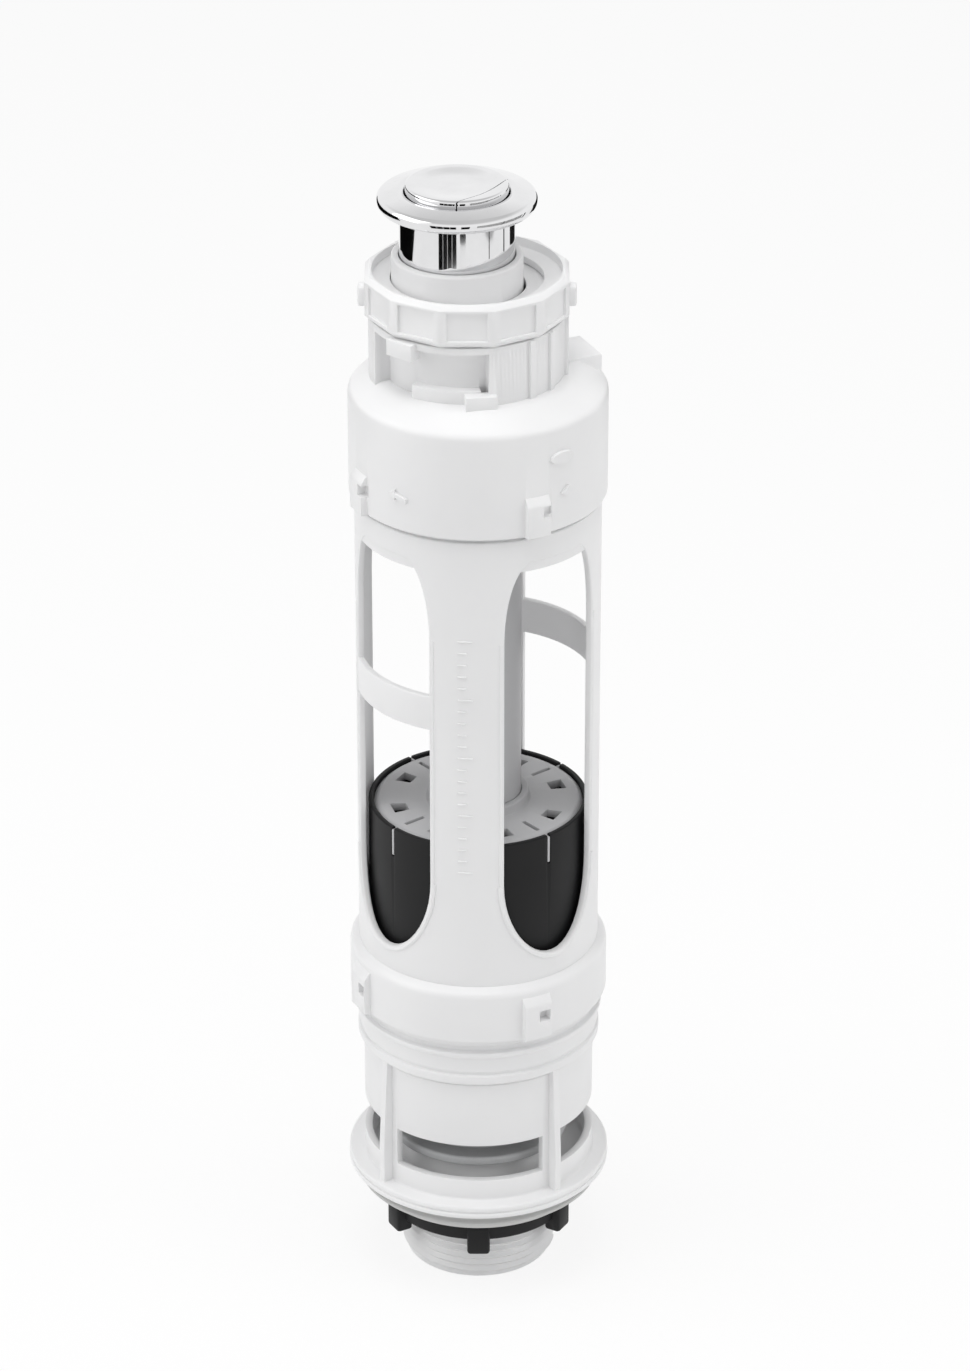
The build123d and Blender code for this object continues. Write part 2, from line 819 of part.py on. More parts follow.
def button_blank():
    """The whole round button with its dished top."""
    return turned(
        [
            (0, button_low),
            (button_r, button_low),
            (button_r, button_high - button_edge),
            (button_r - button_rim / 2, button_high),
            (button_r - button_rim * 2, button_high - button_dish / 3),
            (button_r / 2, button_high - button_dish),
            (0, button_high - button_dish),
        ],
        (),
        HEAD_AXIS,
    )


def split_cutter(shift):
    """The large disc whose edge parts the two buttons, moved out by the shift."""
    bow_centre = split_bow_r - split_reach
    blank = Cylinder(split_bow_r + shift, button_height * 3)
    return around(split_angle(), Pos(0, bow_centre, (button_low + button_high) / 2) * blank, HEAD_AXIS)


def full_button():
    """The large button for a full flush, hollow below."""
    body = button_blank() & split_cutter(-button_gap / 2)
    ceiling = button_high - button_dish - button_top
    hollow = disc(button_r - button_wall, button_low - past, ceiling, HEAD_AXIS)
    return body - (hollow & split_cutter(-button_gap / 2 - button_wall))


def half_button():
    """The crescent button for a half flush."""
    return button_blank() - split_cutter(button_gap / 2)


def push_rod(side, top, foot):
    """Rod from a button down onto its rocker, with a collar for the spring and a foot pad."""
    place = on_rocker_line(rod_spacing, side)
    rod = disc(rod_r, foot, top, place)
    rod += disc(spring_r + spring_wire_r, rod_collar_low, rod_collar_low + rod_collar_height, place)
    rod += disc(rod_pad_r, foot, foot + rod_pad_height, place)
    return rod


def spring(side):
    """Coil spring round one rod, between the guide plate and the rod's collar."""
    clear = spring_wire_r + seated_gap
    low = guide_plate_high + clear
    height = spring_length - 2 * clear
    pitch = height / spring_turns
    path = Helix(pitch, height, spring_r)
    start = Plane(origin=path @ 0, z_dir=path % 0)
    coil = sweep(start * RegularPolygon(spring_wire_r, spring_wire_sides), path=path)
    x, y = on_rocker_line(rod_spacing, side)
    return Pos(x, y, low) * coil


def rocker(side, pivot_z):
    """Two-armed lever at rest: the inner nose up under its rod, the outer nose down."""
    inner_x = inner_arm * cos(rest_tilt)
    inner_z = inner_arm * sin(rest_tilt)
    outer_x = -outer_arm * cos(rest_tilt)
    outer_z = -outer_arm * sin(rest_tilt)
    lean_x = sin(rest_tilt)
    lean_z = cos(rest_tilt)
    arms = Circle(hub_r)
    for end_x, end_z in ((inner_x, inner_z), (outer_x, outer_z)):
        arms += make_face(
            Polyline(
                (-lean_x * arm_root, lean_z * arm_root),
                (end_x - lean_x * arm_tip, end_z + lean_z * arm_tip),
                (end_x + lean_x * arm_tip, end_z - lean_z * arm_tip),
                (lean_x * arm_root, -lean_z * arm_root),
                close=True,
            )
        )
        arms += Pos(end_x, end_z) * Circle(nose_r)
    arms -= Circle(pin_r + turning_gap)
    lever = extrude(Plane.YZ * arms, amount=rocker_half_width, both=True)
    angle = rocker_angle if side > 0 else rocker_angle + 180
    return around(angle, Pos(0, -pivot_reach, pivot_z) * lever)


def rocker_pin(side, pivot_z):
    """Headed pin through both cheeks of the frame."""
    half = rocker_half_width + free_gap + cheek_thick
    pin = Cylinder(pin_r, 2 * half, rotation=(0, 90, 0))
    head = Cylinder(pin_head_r, pin_head_thick, rotation=(0, 90, 0))
    for end in (-1, 1):
        pin += Pos(end * (half + pin_head_thick / 2), 0, 0) * head
    angle = rocker_angle if side > 0 else rocker_angle + 180
    return around(angle, Pos(0, -pivot_reach, pivot_z) * pin)


def rocker_frame():
    """Plate under the cap's ceiling with two cheeks that hold the rocker pins."""
    plate_low = ceiling_z - frame_plate
    end = pivot_reach + hub_r + cheek_margin
    near = rocker_half_width + free_gap
    drop = hub_r + cheek_margin
    cheek_face = outline(
        [
            (-end, half_pivot_z - drop),
            (0, half_pivot_z - drop),
            (pivot_reach * cheek_step_share, full_pivot_z - drop),
            (end, full_pivot_z - drop),
            (end, ceiling_z - frame_plate / 2),
            (-end, ceiling_z - frame_plate / 2),
        ],
        [((-end, half_pivot_z - drop), cheek_edge), ((end, full_pivot_z - drop), cheek_edge)],
    )
    frame = sleeve(ceiling_flat_r - seated_gap, frame_inner_r, plate_low, ceiling_z)
    cheek = extrude(Plane.YZ * cheek_face, amount=cheek_thick)
    frame += Pos(near, 0, 0) * cheek
    frame += Pos(-near - cheek_thick, 0, 0) * cheek
    bore = Cylinder(pin_r + seated_gap, 4 * (near + cheek_thick), rotation=(0, 90, 0))
    frame -= Pos(0, -pivot_reach, half_pivot_z) * bore
    frame -= Pos(0, pivot_reach, full_pivot_z) * bore
    return around(rocker_angle, frame)


def lift_crown():
    """Cup on the head of the tube, with the inward lip that the rockers lift."""
    floor_low = crown_floor_top - crown_floor
    crown = turned(
        [
            (tube_fit_r, crown_floor_top - crown_hub_depth),
            (tube_fit_r + crown_hub_wall, crown_floor_top - crown_hub_depth),
            (tube_fit_r + crown_hub_wall, floor_low),
            (crown_r, floor_low),
            (crown_r, lip_low + crown_lip),
            (crown_inner_r - crown_lip_reach, lip_low + crown_lip),
            (crown_inner_r - crown_lip_reach, lip_low),
            (crown_inner_r, lip_low),
            (crown_inner_r, crown_floor_top),
            (tube_fit_r, crown_floor_top),
        ],
        [((crown_r, floor_low), crown_edge)],
    )
    hole_r = (tube_fit_r + crown_hub_wall + crown_inner_r) / 2
    hole = disc(crown_hole_r, floor_low - past, crown_floor_top + past, (0, -hole_r))
    for turn in range(crown_hole_count):
        crown -= around(turn * 360 / crown_hole_count, hole)
    return crown


def overflow_tube():
    """Long tube that spills an overfull cistern, with the disc that presses on the seal."""
    inner = tube_r - tube_wall
    low = seal_low - retainer_thick
    disc_high = seal_high + foot_disc_thick
    return turned(
        [
            (inner, low),
            (tube_r, low),
            (tube_r, seal_high),
            (foot_disc_r, seal_high),
            (foot_disc_r, disc_high - foot_disc_edge),
            (tube_r + foot_cone_reach, disc_high + foot_cone_low),
            (tube_r, disc_high + foot_cone_high),
            (tube_r, crown_floor_top),
            (inner, crown_floor_top),
        ]
    )


def seat_seal():
    """Flat rubber ring that closes the outlet."""
    return sleeve(seal_r, tube_fit_r, seal_low, seal_high)


def seal_retainer():
    """Ring below the seal, with fins that guide the tube in the outlet."""
    low = seal_low - retainer_thick
    ring = sleeve(retainer_r, tube_fit_r, low, seal_low)
    fin_low = low - retainer_fin_depth
    fin_tip = outlet_r - sliding_gap
    fin_face = outline(
        [
            (tube_fit_r + retainer_root, low + retainer_root),
            (tube_r + retainer_hook, low - retainer_hook_depth),
            (fin_tip - retainer_fin_foot, fin_low),
            (fin_tip - retainer_fin_cut, fin_low),
            (fin_tip, fin_low + 2 * retainer_fin_cut),
            (fin_tip, low + retainer_root),
        ]
    )
    fin = extrude(Plane.XZ * fin_face, amount=retainer_fin_thick / 2, both=True)
    ring += sleeve(tube_r + retainer_hook, tube_r - tube_wall, low - retainer_hook_depth, low)
    for turn in range(retainer_fins):
        ring += around(turn * 360 / retainer_fins, fin)
    return ring


def float_body():
    """Black float bucket round the tube, with clip slits below its rim."""
    inner = float_r - float_wall
    bore = tube_r + sliding_gap
    sleeve_top = float_top - float_cap_skirt - float_sleeve_drop
    body = turned(
        [
            (bore, float_low),
            (float_r - float_bevel, float_low),
            (float_r, float_low + float_bevel),
            (float_r, float_top),
            (inner, float_top),
            (inner, float_low + float_floor),
            (bore + float_wall, float_low + float_floor),
            (bore + float_wall, sleeve_top),
            (bore, sleeve_top),
        ]
    )
    slit_low = float_top - float_clip_depth
    slit = front_block(float_clip_width, inner - past, float_r + past, slit_low, float_top + past)
    for angle in quarters(45):
        body -= around(angle, slit)
    return body


def float_cap():
    """Grey cover of the float, with eight openings, four slots and a collar on the tube."""
    bore = tube_r + sliding_gap
    high = float_top - float_cap_sink
    low = high - float_cap_thick
    edge = float_r - float_wall - seated_gap
    flat = float_r - float_cap_inset
    cover = turned(
        [
            (bore, low),
            (edge - float_cap_skirt_wall, low),
            (edge - float_cap_skirt_wall, low - float_cap_skirt),
            (edge, low - float_cap_skirt),
            (edge, high - float_cap_bevel),
            (flat, high),
            (bore + hub_collar_wall, high),
            (bore + hub_collar_wall - hub_collar_lean, high + hub_collar_height),
            (bore, high + hub_collar_height),
        ]
    )
    near = float_hole_r - float_hole_depth / 2
    far = float_hole_r + float_hole_depth / 2
    half_near = float_hole_width * float_hole_near_share
    half_far = float_hole_width * float_hole_far_share
    hole_face = make_face(
        Polyline((-half_near, -near), (half_near, -near), (half_far, -far), (-half_far, -far), close=True)
    )
    hole = Pos(0, 0, low - past) * extrude(hole_face, float_cap_thick + 2 * past)
    slot = front_block(
        float_slot_width, float_hole_r - float_slot_length / 2, float_hole_r + float_slot_length / 2,
        low - past, high + past,
    )
    for turn in range(float_cap_holes):
        pitch = 360 / float_cap_holes
        cover -= around((turn + 0.5) * pitch, hole)
    for angle in quarters(45):
        cover -= around(angle, slot)
    return cover


def parts():
    """Every piece of the valve by its node name."""
    full_foot = full_pivot_z + inner_nose_rise
    half_foot = half_pivot_z + inner_nose_rise
    return {
        "base_body": base_body(),
        "sealing_washer": sealing_washer(),
        "back_nut": back_nut(),
        "cage": cage(),
        "tube_guide": tube_guide(),
        "cap": cap(),
        "clamp_nut": clamp_nut(),
        "neck": neck(),
        "chrome_sleeve": chrome_sleeve(),
        "button_guide": button_guide(),
        "full_button": full_button(),
        "half_button": half_button(),
        "full_push_rod": push_rod(-1, button_high - button_dish - button_top, full_foot),
        "half_push_rod": push_rod(1, button_low, half_foot),
        "full_spring": spring(-1),
        "half_spring": spring(1),
        "rocker_frame": rocker_frame(),
        "full_rocker": rocker(-1, full_pivot_z),
        "half_rocker": rocker(1, half_pivot_z),
        "full_rocker_pin": rocker_pin(-1, full_pivot_z),
        "half_rocker_pin": rocker_pin(1, half_pivot_z),
        "lift_crown": lift_crown(),
        "overflow_tube": overflow_tube(),
        "seat_seal": seat_seal(),
        "seal_retainer": seal_retainer(),
        "float_body": float_body(),
        "float_cap": float_cap(),
    }


if __name__ == "__main__":
    os.makedirs("parts", exist_ok=True)
    for node, shape in parts().items():
        export_step(shape, os.path.join("parts", node + ".step"))
        print(node, round(shape.volume, 1))
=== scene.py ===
"""Looks of a dual-flush valve for a toilet cistern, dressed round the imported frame.

Sizes are in millimetres in the classes and become metres when a mesh is made. An angle is counted
from the front (-Y) towards the right (+X), as seen from above.
"""

import logging
import math
from collections.abc import Sequence
from dataclasses import dataclass
from enum import Enum

import bmesh
import bpy
from mathutils import Matrix, Vector


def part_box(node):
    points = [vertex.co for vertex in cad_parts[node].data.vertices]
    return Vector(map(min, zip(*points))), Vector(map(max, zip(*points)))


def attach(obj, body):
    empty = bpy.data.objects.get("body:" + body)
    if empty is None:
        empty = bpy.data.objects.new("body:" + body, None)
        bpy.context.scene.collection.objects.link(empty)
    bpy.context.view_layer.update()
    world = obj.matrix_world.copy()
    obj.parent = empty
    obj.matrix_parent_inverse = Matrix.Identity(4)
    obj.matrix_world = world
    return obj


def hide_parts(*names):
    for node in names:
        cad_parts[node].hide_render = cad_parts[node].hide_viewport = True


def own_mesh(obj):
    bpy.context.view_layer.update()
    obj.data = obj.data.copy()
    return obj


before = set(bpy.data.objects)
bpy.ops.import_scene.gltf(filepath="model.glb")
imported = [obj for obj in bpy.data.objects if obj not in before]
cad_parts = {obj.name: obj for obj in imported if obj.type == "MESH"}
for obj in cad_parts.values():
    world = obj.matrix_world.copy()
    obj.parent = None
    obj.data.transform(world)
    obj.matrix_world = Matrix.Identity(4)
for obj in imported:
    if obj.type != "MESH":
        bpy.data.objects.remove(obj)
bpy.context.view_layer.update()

MM = 0.001
FULL_TURN = 2 * math.pi
# Faces round a full turn of a turned piece, points in one turn of a coil, sides of a fine bead
RING_STEPS = 144
COIL_STEPS = 96
BEAD_SIDES = 8
# A round takes at most this share of the straight beside it
ROUND_SHARE = 0.48
# A radius below this lies on the axis, points closer than this are one, and a cut finds points this near
NEAR_ZERO = 1e-6
WELD = 1e-4
CUT_REACH = 1e-5
# How far the flat plate of a wrapped wall reaches past its two ends before they are cut
WRAP_MARGIN = 4.0

log = logging.getLogger("flush_valve")

Point = tuple[float, float]
Colour = tuple[float, float, float, float]
# Plan position of the valve's own axis
AXIS: Point = (0.0, 0.0)
Item = bpy.types.Object
Node = bpy.types.Node
Socket = bpy.types.NodeSocket
Tree = bpy.types.NodeTree
Shape = bmesh.types.BMesh


class Joining(Enum):
    """How one closed mesh is worked into another."""

    CUT = "DIFFERENCE"
    ADD = "UNION"
    KEEP = "INTERSECT"


def linear(hex_colour: str) -> Colour:
    """Turns an sRGB hex colour into the linear one that a shader takes.

    Args:
        hex_colour: Six hex digits, with or without a hash in front.

    Returns:
        Red, green, blue and an alpha of 1.
    """
    digits = hex_colour.lstrip("#")
    channels = []
    for place in (0, 2, 4):
        value = int(digits[place : place + 2], 16) / 255
        channels.append(value / 12.92 if value <= 0.04045 else ((value + 0.055) / 1.055) ** 2.4)
    return (channels[0], channels[1], channels[2], 1.0)


def feed(tree: Tree, node: Node, inputs: dict[str | int, object]) -> None:
    """Gives a node's inputs their values, or links the output sockets that feed them."""
    for key, value in inputs.items():
        if isinstance(value, Socket):
            tree.links.new(value, node.inputs[key])
        else:
            node.inputs[key].default_value = value


def add_node(
    tree: Tree, kind: str, inputs: dict[str | int, object] | None = None, **settings: object
) -> Node:
    """Adds a node with its settings, its values and its links.

    Args:
        tree: The tree that gets the node.
        kind: The node's type name.
        inputs: Input name or number, and the value or the output socket that feeds it.
        settings: The node's own properties.

    Returns:
        The new node.
    """
    node = tree.nodes.new(kind)
    for name, value in settings.items():
        setattr(node, name, value)
    feed(tree, node, inputs or {})
    return node


def arithmetic(tree: Tree, operation: str, *numbers: float | Socket) -> Socket:
    """Adds one step of arithmetic and gives its result."""
    return add_node(tree, "ShaderNodeMath", dict(enumerate(numbers)), operation=operation).outputs[0]


def blend(tree: Tree, share: Socket, first: Socket, second: Socket) -> Socket:
    """Mixes two shaders, and a share of 1 gives the second."""
    return add_node(tree, "ShaderNodeMixShader", {0: share, 1: first, 2: second}).outputs[0]


@dataclass(frozen=True)
class Surface:
    """A material in the making.

    Args:
        tree: The material's tree.
        shader: Its Principled shader.
        place: The place on the object, in metres.
    """

    tree: Tree
    shader: Node
    place: Socket

    def noise(self, size_mm: float, detail: float, place: Socket | None = None) -> Socket:
        """Adds a noise of one grain size and gives its value."""
        inputs = {"Vector": place or self.place, "Scale": 1 / (size_mm * MM), "Detail": detail}
        return add_node(self.tree, "ShaderNodeTexNoise", inputs).outputs["Fac"]

    def spread(self, value: Socket, ends: dict[str, float]) -> Socket:
        """Spreads a value over another range and gives the result."""
        return add_node(self.tree, "ShaderNodeMapRange", {"Value": value, **ends}).outputs["Result"]

    def drift(self, share: Socket, colours: Sequence[str]) -> None:
        """Lets the colour drift between two shades."""
        shades = {"Factor": share, "A": linear(colours[0]), "B": linear(colours[1])}
        mix = add_node(self.tree, "ShaderNodeMix", shades, data_type="RGBA")
        feed(self.tree, self.shader, {"Base Color": mix.outputs["Result"]})

    def emboss(self, height: Socket, depth_mm: float, strength: float) -> None:
        """Gives the surface a fine relief."""
        inputs = {"Height": height, "Distance": depth_mm * MM, "Strength": strength}
        bump = add_node(self.tree, "ShaderNodeBump", inputs)
        feed(self.tree, self.shader, {"Normal": bump.outputs["Normal"]})


@dataclass(frozen=True)
class Finish:
    """A material in two shades that drift into one another.

    Args:
        name: The material's name.
        slot: The record's material slot; not used.
        colour: Its main shade.
        other_colour: The shade that it drifts to.
        roughness: How matt it is.
    """

    name: str
    slot: str
    colour: str
    other_colour: str
    roughness: float

    def material(self) -> bpy.types.Material:
        """Gives the material, which is built on the first call."""
        made = bpy.data.materials.get(self.name)
        if made is None:
            made = bpy.data.materials.new(self.name)
            made.use_nodes = True
            tree = made.node_tree
            place = add_node(tree, "ShaderNodeTexCoord").outputs["Object"]
            self.shade(Surface(tree, tree.nodes["Principled BSDF"], place))
        return made

    def shade(self, surface: Surface) -> None:
        """Sets the shader up, which each kind of finish does in its own way."""
        raise NotImplementedError


@dataclass(frozen=True)
class MouldedPlastic(Finish):
    """A moulded plastic: fine mould grain, faint flow shading and a soft sheen."""

    grain_mm: float = 0.35
    grain_depth_mm: float = 0.012
    grain_detail: float = 2.0
    grain_strength: float = 0.6
    flow_mm: float = 26.0
    flow_detail: float = 3.0
    smoother: float = 0.05
    duller: float = 0.07
    translucence: float = 0.0
    light_depth_m: float = 0.0015
    sheen_level: float = 0.5
    ior: float = 1.5

    def shade(self, surface: Surface) -> None:
        """Sets the shader up."""
        flow = surface.noise(self.flow_mm, self.flow_detail)
        surface.drift(flow, (self.colour, self.other_colour))
        ends = {"To Min": self.roughness - self.smoother, "To Max": self.roughness + self.duller}
        settings = {
            "Roughness": surface.spread(flow, ends),
            "IOR": self.ior,
            "Specular IOR Level": self.sheen_level,
            "Subsurface Weight": self.translucence,
            "Subsurface Radius": (1.0, 1.0, 1.0),
            "Subsurface Scale": self.light_depth_m,
        }
        feed(surface.tree, surface.shader, settings)
        grain = surface.noise(self.grain_mm, self.grain_detail)
        surface.emboss(grain, self.grain_depth_mm, self.grain_strength)


@dataclass(frozen=True)
class SoftRubber(Finish):
    """A moulded elastomer: matt, with a fine speckle of filler."""

    speck_mm: float = 0.5
    speck_depth_mm: float = 0.02
    speck_detail: float = 5.0
    speck_strength: float = 0.7

    def shade(self, surface: Surface) -> None:
        """Sets the shader up."""
        specks = surface.noise(self.speck_mm, self.speck_detail)
        surface.drift(specks, (self.colour, self.other_colour))
        surface.emboss(specks, self.speck_depth_mm, self.speck_strength)
        feed(surface.tree, surface.shader, {"Roughness": self.roughness})


@dataclass(frozen=True)
class BrightMetal(Finish):
    """A plated or drawn metal: mirror or satin, with fine handling marks."""

    mark_mm: float = 6.0
    mark_depth_mm: float = 0.0004
    mark_detail: float = 4.0
    mark_strength: float = 0.4
    stretch: float = 1.0
    haze_from: float = 0.35
    haze_to: float = 0.75
    haze_gain: float = 2.2

    def shade(self, surface: Surface) -> None:
        """Sets the shader up."""
        inputs = {"Vector": surface.place, "Scale": (1, 1, 1 / self.stretch)}
        run = add_node(surface.tree, "ShaderNodeMapping", inputs)
        marks = surface.noise(self.mark_mm, self.mark_detail, run.outputs["Vector"])
        ends = {
            "From Min": self.haze_from,
            "From Max": self.haze_to,
            "To Min": self.roughness,
            "To Max": self.roughness * self.haze_gain,
        }
        feed(surface.tree, surface.shader, {"Roughness": surface.spread(marks, ends), "Metallic": 1.0})
        surface.emboss(marks, self.mark_depth_mm, self.mark_strength)
        surface.drift(marks, (self.colour, self.other_colour))


# Polypropylene: moulded white, satin, and a little light goes into it, so its shades stay soft
WHITE_PLASTIC = MouldedPlastic(
    "white_polypropylene", "white_plastic", "#EDEDED", "#E8E8E9", 0.36, translucence=0.12
)
# The same plastic with grey pigment, which looks cooler and flatter beside the white
GREY_PLASTIC = MouldedPlastic("grey_polypropylene", "grey_plastic", "#BEBEBF", "#B7B7B9", 0.42)
# Polypropylene with carbon black: deep, and its sheen shows the mould grain
BLACK_PLASTIC = MouldedPlastic(
    "black_polypropylene", "black_plastic", "#19191A", "#151516", 0.5, grain_depth_mm=0.02, sheen_level=0.24
)
# Silicone seal: dull and light grey
SEAL_RUBBER = SoftRubber("grey_silicone", "grey_rubber", "#C6C7C8", "#BBBCBD", 0.62)
# Pale foamed rubber: matt, so that the washer reads as a soft band under the flange
WASHER_RUBBER = SoftRubber("pale_foam_rubber", "washer_rubber", "#C9C9C8", "#BDBDBC", 0.7, speck_mm=0.8)
# Chromium plate on moulded plastic: a mirror with the faint haze of handling
CHROME = BrightMetal("chromium_plate", "chrome", "#E8E8E9", "#DCDCDD", 0.03)
# Drawn spring steel: bright, with marks along the wire
SPRING_STEEL = BrightMetal(
    "spring_steel", "steel", "#C8CACC", "#D4D6D9", 0.22, mark_mm=0.3, mark_depth_mm=0.002, stretch=6.0
)


@dataclass(frozen=True)
class Card:
    """A card beside the valve that only bright surfaces mirror, as a bar or a shade.

    Args:
        azimuth: Degrees from the front towards the right.
        width_mm: Its width.
        low_mm: Height of its lower edge.
        high_mm: Height of its upper edge.
        distance_mm: Its distance from the valve's axis.
        colour: Its shade.
    """

    azimuth: float
    width_mm: float
    low_mm: float
    high_mm: float
    distance_mm: float = 360.0
    colour: str = "#0A0A0A"


CARDS = (
    Card(-114.0, 460.0, 152.0, 345.0),
    Card(-27.5, 53.0, 145.0, 330.0),
    Card(-18.5, 53.0, 145.0, 330.0, colour="#1C1C1C"),
    Card(-9.5, 53.0, 145.0, 330.0),
    Card(-0.5, 53.0, 145.0, 330.0, colour="#1C1C1C"),
    Card(16.3, 74.0, 154.0, 330.0),
    Card(72.0, 12.0, 140.0, 330.0, colour="#4A4A4A"),
    Card(112.0, 22.0, 156.0, 330.0),
    Card(150.0, 200.0, 150.0, 345.0, colour="#202020"),
    Card(70.0, 640.0, 128.0, 330.0, distance_mm=420.0, colour="#B2B2B2"),
)


@dataclass(frozen=True)
class Lamp:
    """A square soft box that points at the valve's middle.

    Args:
        name: The lamp's name.
        azimuth: Degrees from the front towards the right.
        elevation: Degrees above the horizon.
        distance_mm: Distance from the valve's middle.
        size_mm: Side of the square.
        watts: Power of the lamp.
        mirrored: Whether bright surfaces mirror it.
    """

    name: str
    azimuth: float
    elevation: float
    distance_mm: float
    size_mm: float
    watts: float
    mirrored: bool = False


LAMPS = (
    Lamp("left_lamp", -72.0, 32.0, 1500.0, 1300.0, 6.6, mirrored=True),
    Lamp("right_lamp", 78.0, 28.0, 1600.0, 900.0, 5.0),
    Lamp("top_lamp", -10.0, 78.0, 1500.0, 900.0, 8.8),
)


def towards(azimuth: float, elevation: float = 0.0) -> Vector:
    """Gives the direction at an angle from the front and an angle above the horizon."""
    turn = math.radians(azimuth)
    tilt = math.radians(elevation)
    return Vector((math.sin(turn) * math.cos(tilt), -math.cos(turn) * math.cos(tilt), math.sin(tilt)))


def hang(item: Item, spot: Vector, back: Vector) -> None:
    """Puts a camera or lamp at a place in millimetres, looking against a direction."""
    bpy.context.scene.collection.objects.link(item)
    item.location = spot * MM
    item.rotation_mode = "QUATERNION"
    item.rotation_quaternion = (-back).to_track_quat("-Z", "Y")


def sheet(name: str, surface: str, corners: Sequence[Vector]) -> tuple[Item, Tree]:
    """Makes a flat sheet of the studio and a material that has no nodes yet.

    Args:
        name: The sheet's name.
        surface: The material's name.
        corners: Its four corners in order, in millimetres.

    Returns:
        The sheet and its material's tree.
    """
    mesh = bpy.data.meshes.new(name)
    mesh.from_pydata([corner * MM for corner in corners], [], [(0, 1, 2, 3)])
    made = bpy.data.materials.new(surface)
    made.use_nodes = True
    made.node_tree.nodes.clear()
    mesh.materials.append(made)
    return new_object(name, mesh), made.node_tree


@dataclass
class Studio:
    """Floor, light and camera."""

    camera_azimuth: float = 5.5
    camera_elevation: float = 26.87
    camera_distance_mm: float = 1600.0
    camera_clip_m: float = 100.0
    aim_height_mm: float = 193.8
    aim_shift_mm: float = 2.0
    focal_px: float = 5384.0
    picture_px: Point = (970.0, 1371.0)
    sensor_mm: float = 36.0
    white: str = "#FFFFFF"
    floor_colour: str = "#F4F4F4"
    floor_size_mm: float = 9000.0
    floor_drop_mm: float = 0.5
    floor_glow: float = 0.85
    world_strength: float = 0.56
    mirrored_low: float = 1.05
    mirrored_high: float = 0.66
    fall_from: float = 0.5
    fall_to: float = 0.8
    cards: tuple[Card, ...] = CARDS
    lamps: tuple[Lamp, ...] = LAMPS

    def place_camera(self) -> None:
        """Sets the camera at the photograph's angle, distance and framing."""
        aim = Vector((0, 0, self.aim_height_mm)) + towards(self.camera_azimuth + 90) * self.aim_shift_mm
        back = towards(self.camera_azimuth, self.camera_elevation)
        data = bpy.data.cameras.new("camera")
        data.sensor_width = self.sensor_mm
        data.lens = self.sensor_mm * self.focal_px / max(self.picture_px)
        data.clip_end = self.camera_clip_m
        camera = bpy.data.objects.new("camera", data)
        hang(camera, aim + back * self.camera_distance_mm, back)
        bpy.context.scene.camera = camera

    def light_world(self) -> None:
        """Lights from all round, shows white to the camera and a soft fall of light in the chrome."""
        world = bpy.data.worlds.new("studio_world")
        bpy.context.scene.world = world
        world.use_nodes = True
        tree = world.node_tree
        tree.nodes.clear()
        rays = add_node(tree, "ShaderNodeLightPath").outputs
        direction = add_node(tree, "ShaderNodeTexCoord").outputs["Generated"]
        fall = {
            "Value": add_node(tree, "ShaderNodeSeparateXYZ", {"Vector": direction}).outputs["Z"],
            "From Min": self.fall_from,
            "From Max": self.fall_to,
            "To Min": self.mirrored_low,
            "To Max": self.mirrored_high,
        }
        fading = add_node(tree, "ShaderNodeMapRange", fall).outputs["Result"]
        skies = [
            add_node(tree, "ShaderNodeBackground", {"Color": linear(self.white), "Strength": strength})
            for strength in (self.world_strength, fading, 1.0)
        ]
        soft, mirrored, plain = (sky.outputs[0] for sky in skies)
        straight = arithmetic(tree, "MAXIMUM", rays["Is Camera Ray"], rays["Is Transmission Ray"])
        lit = blend(tree, rays["Is Glossy Ray"], soft, mirrored)
        add_node(tree, "ShaderNodeOutputWorld", {"Surface": blend(tree, straight, lit, plain)})

    def lay_floor(self) -> None:
        """Lays the pale floor, which keeps the valve's soft shadow."""
        half = self.floor_size_mm / 2
        plan = [(-half, -half), (half, -half), (half, half), (-half, half)]
        floor, tree = sheet("floor", "pale_floor", [Vector((x, y, -self.floor_drop_mm)) for x, y in plan])
        rays = add_node(tree, "ShaderNodeLightPath").outputs
        matt = add_node(tree, "ShaderNodeBsdfDiffuse", {"Color": linear(self.floor_colour)})
        glow = add_node(tree, "ShaderNodeEmission", {"Color": linear(self.white), "Strength": 1.0})
        share = arithmetic(tree, "MULTIPLY", rays["Is Camera Ray"], self.floor_glow)
        seen = arithmetic(tree, "MAXIMUM", share, rays["Is Glossy Ray"])
        both = blend(tree, seen, matt.outputs[0], glow.outputs[0])
        add_node(tree, "ShaderNodeOutputMaterial", {"Surface": both})

    def hang_lamp(self, plan: Lamp) -> None:
        """Hangs one soft box."""
        back = towards(plan.azimuth, plan.elevation)
        data = bpy.data.lights.new(plan.name, "AREA")
        data.size = plan.size_mm * MM
        data.energy = plan.watts
        lamp = bpy.data.objects.new(plan.name, data)
        hang(lamp, Vector((0, 0, self.aim_height_mm)) + back * plan.distance_mm, back)
        lamp.visible_glossy = plan.mirrored

    def stand_card(self, name: str, plan: Card) -> None:
        """Stands up one card."""
        centre = towards(plan.azimuth) * plan.distance_mm
        side = towards(plan.azimuth + 90) * plan.width_mm / 2
        foot, head = Vector((0, 0, plan.low_mm)), Vector((0, 0, plan.high_mm))
        corners = [centre - side + foot, centre + side + foot, centre + side + head, centre - side + head]
        card, tree = sheet(name, name, corners)
        dull = add_node(tree, "ShaderNodeBsdfDiffuse", {"Color": linear(plan.colour)})
        add_node(tree, "ShaderNodeOutputMaterial", {"Surface": dull.outputs[0]})
        card.visible_camera = False
        card.visible_diffuse = False
        card.visible_shadow = False
        card.visible_transmission = False

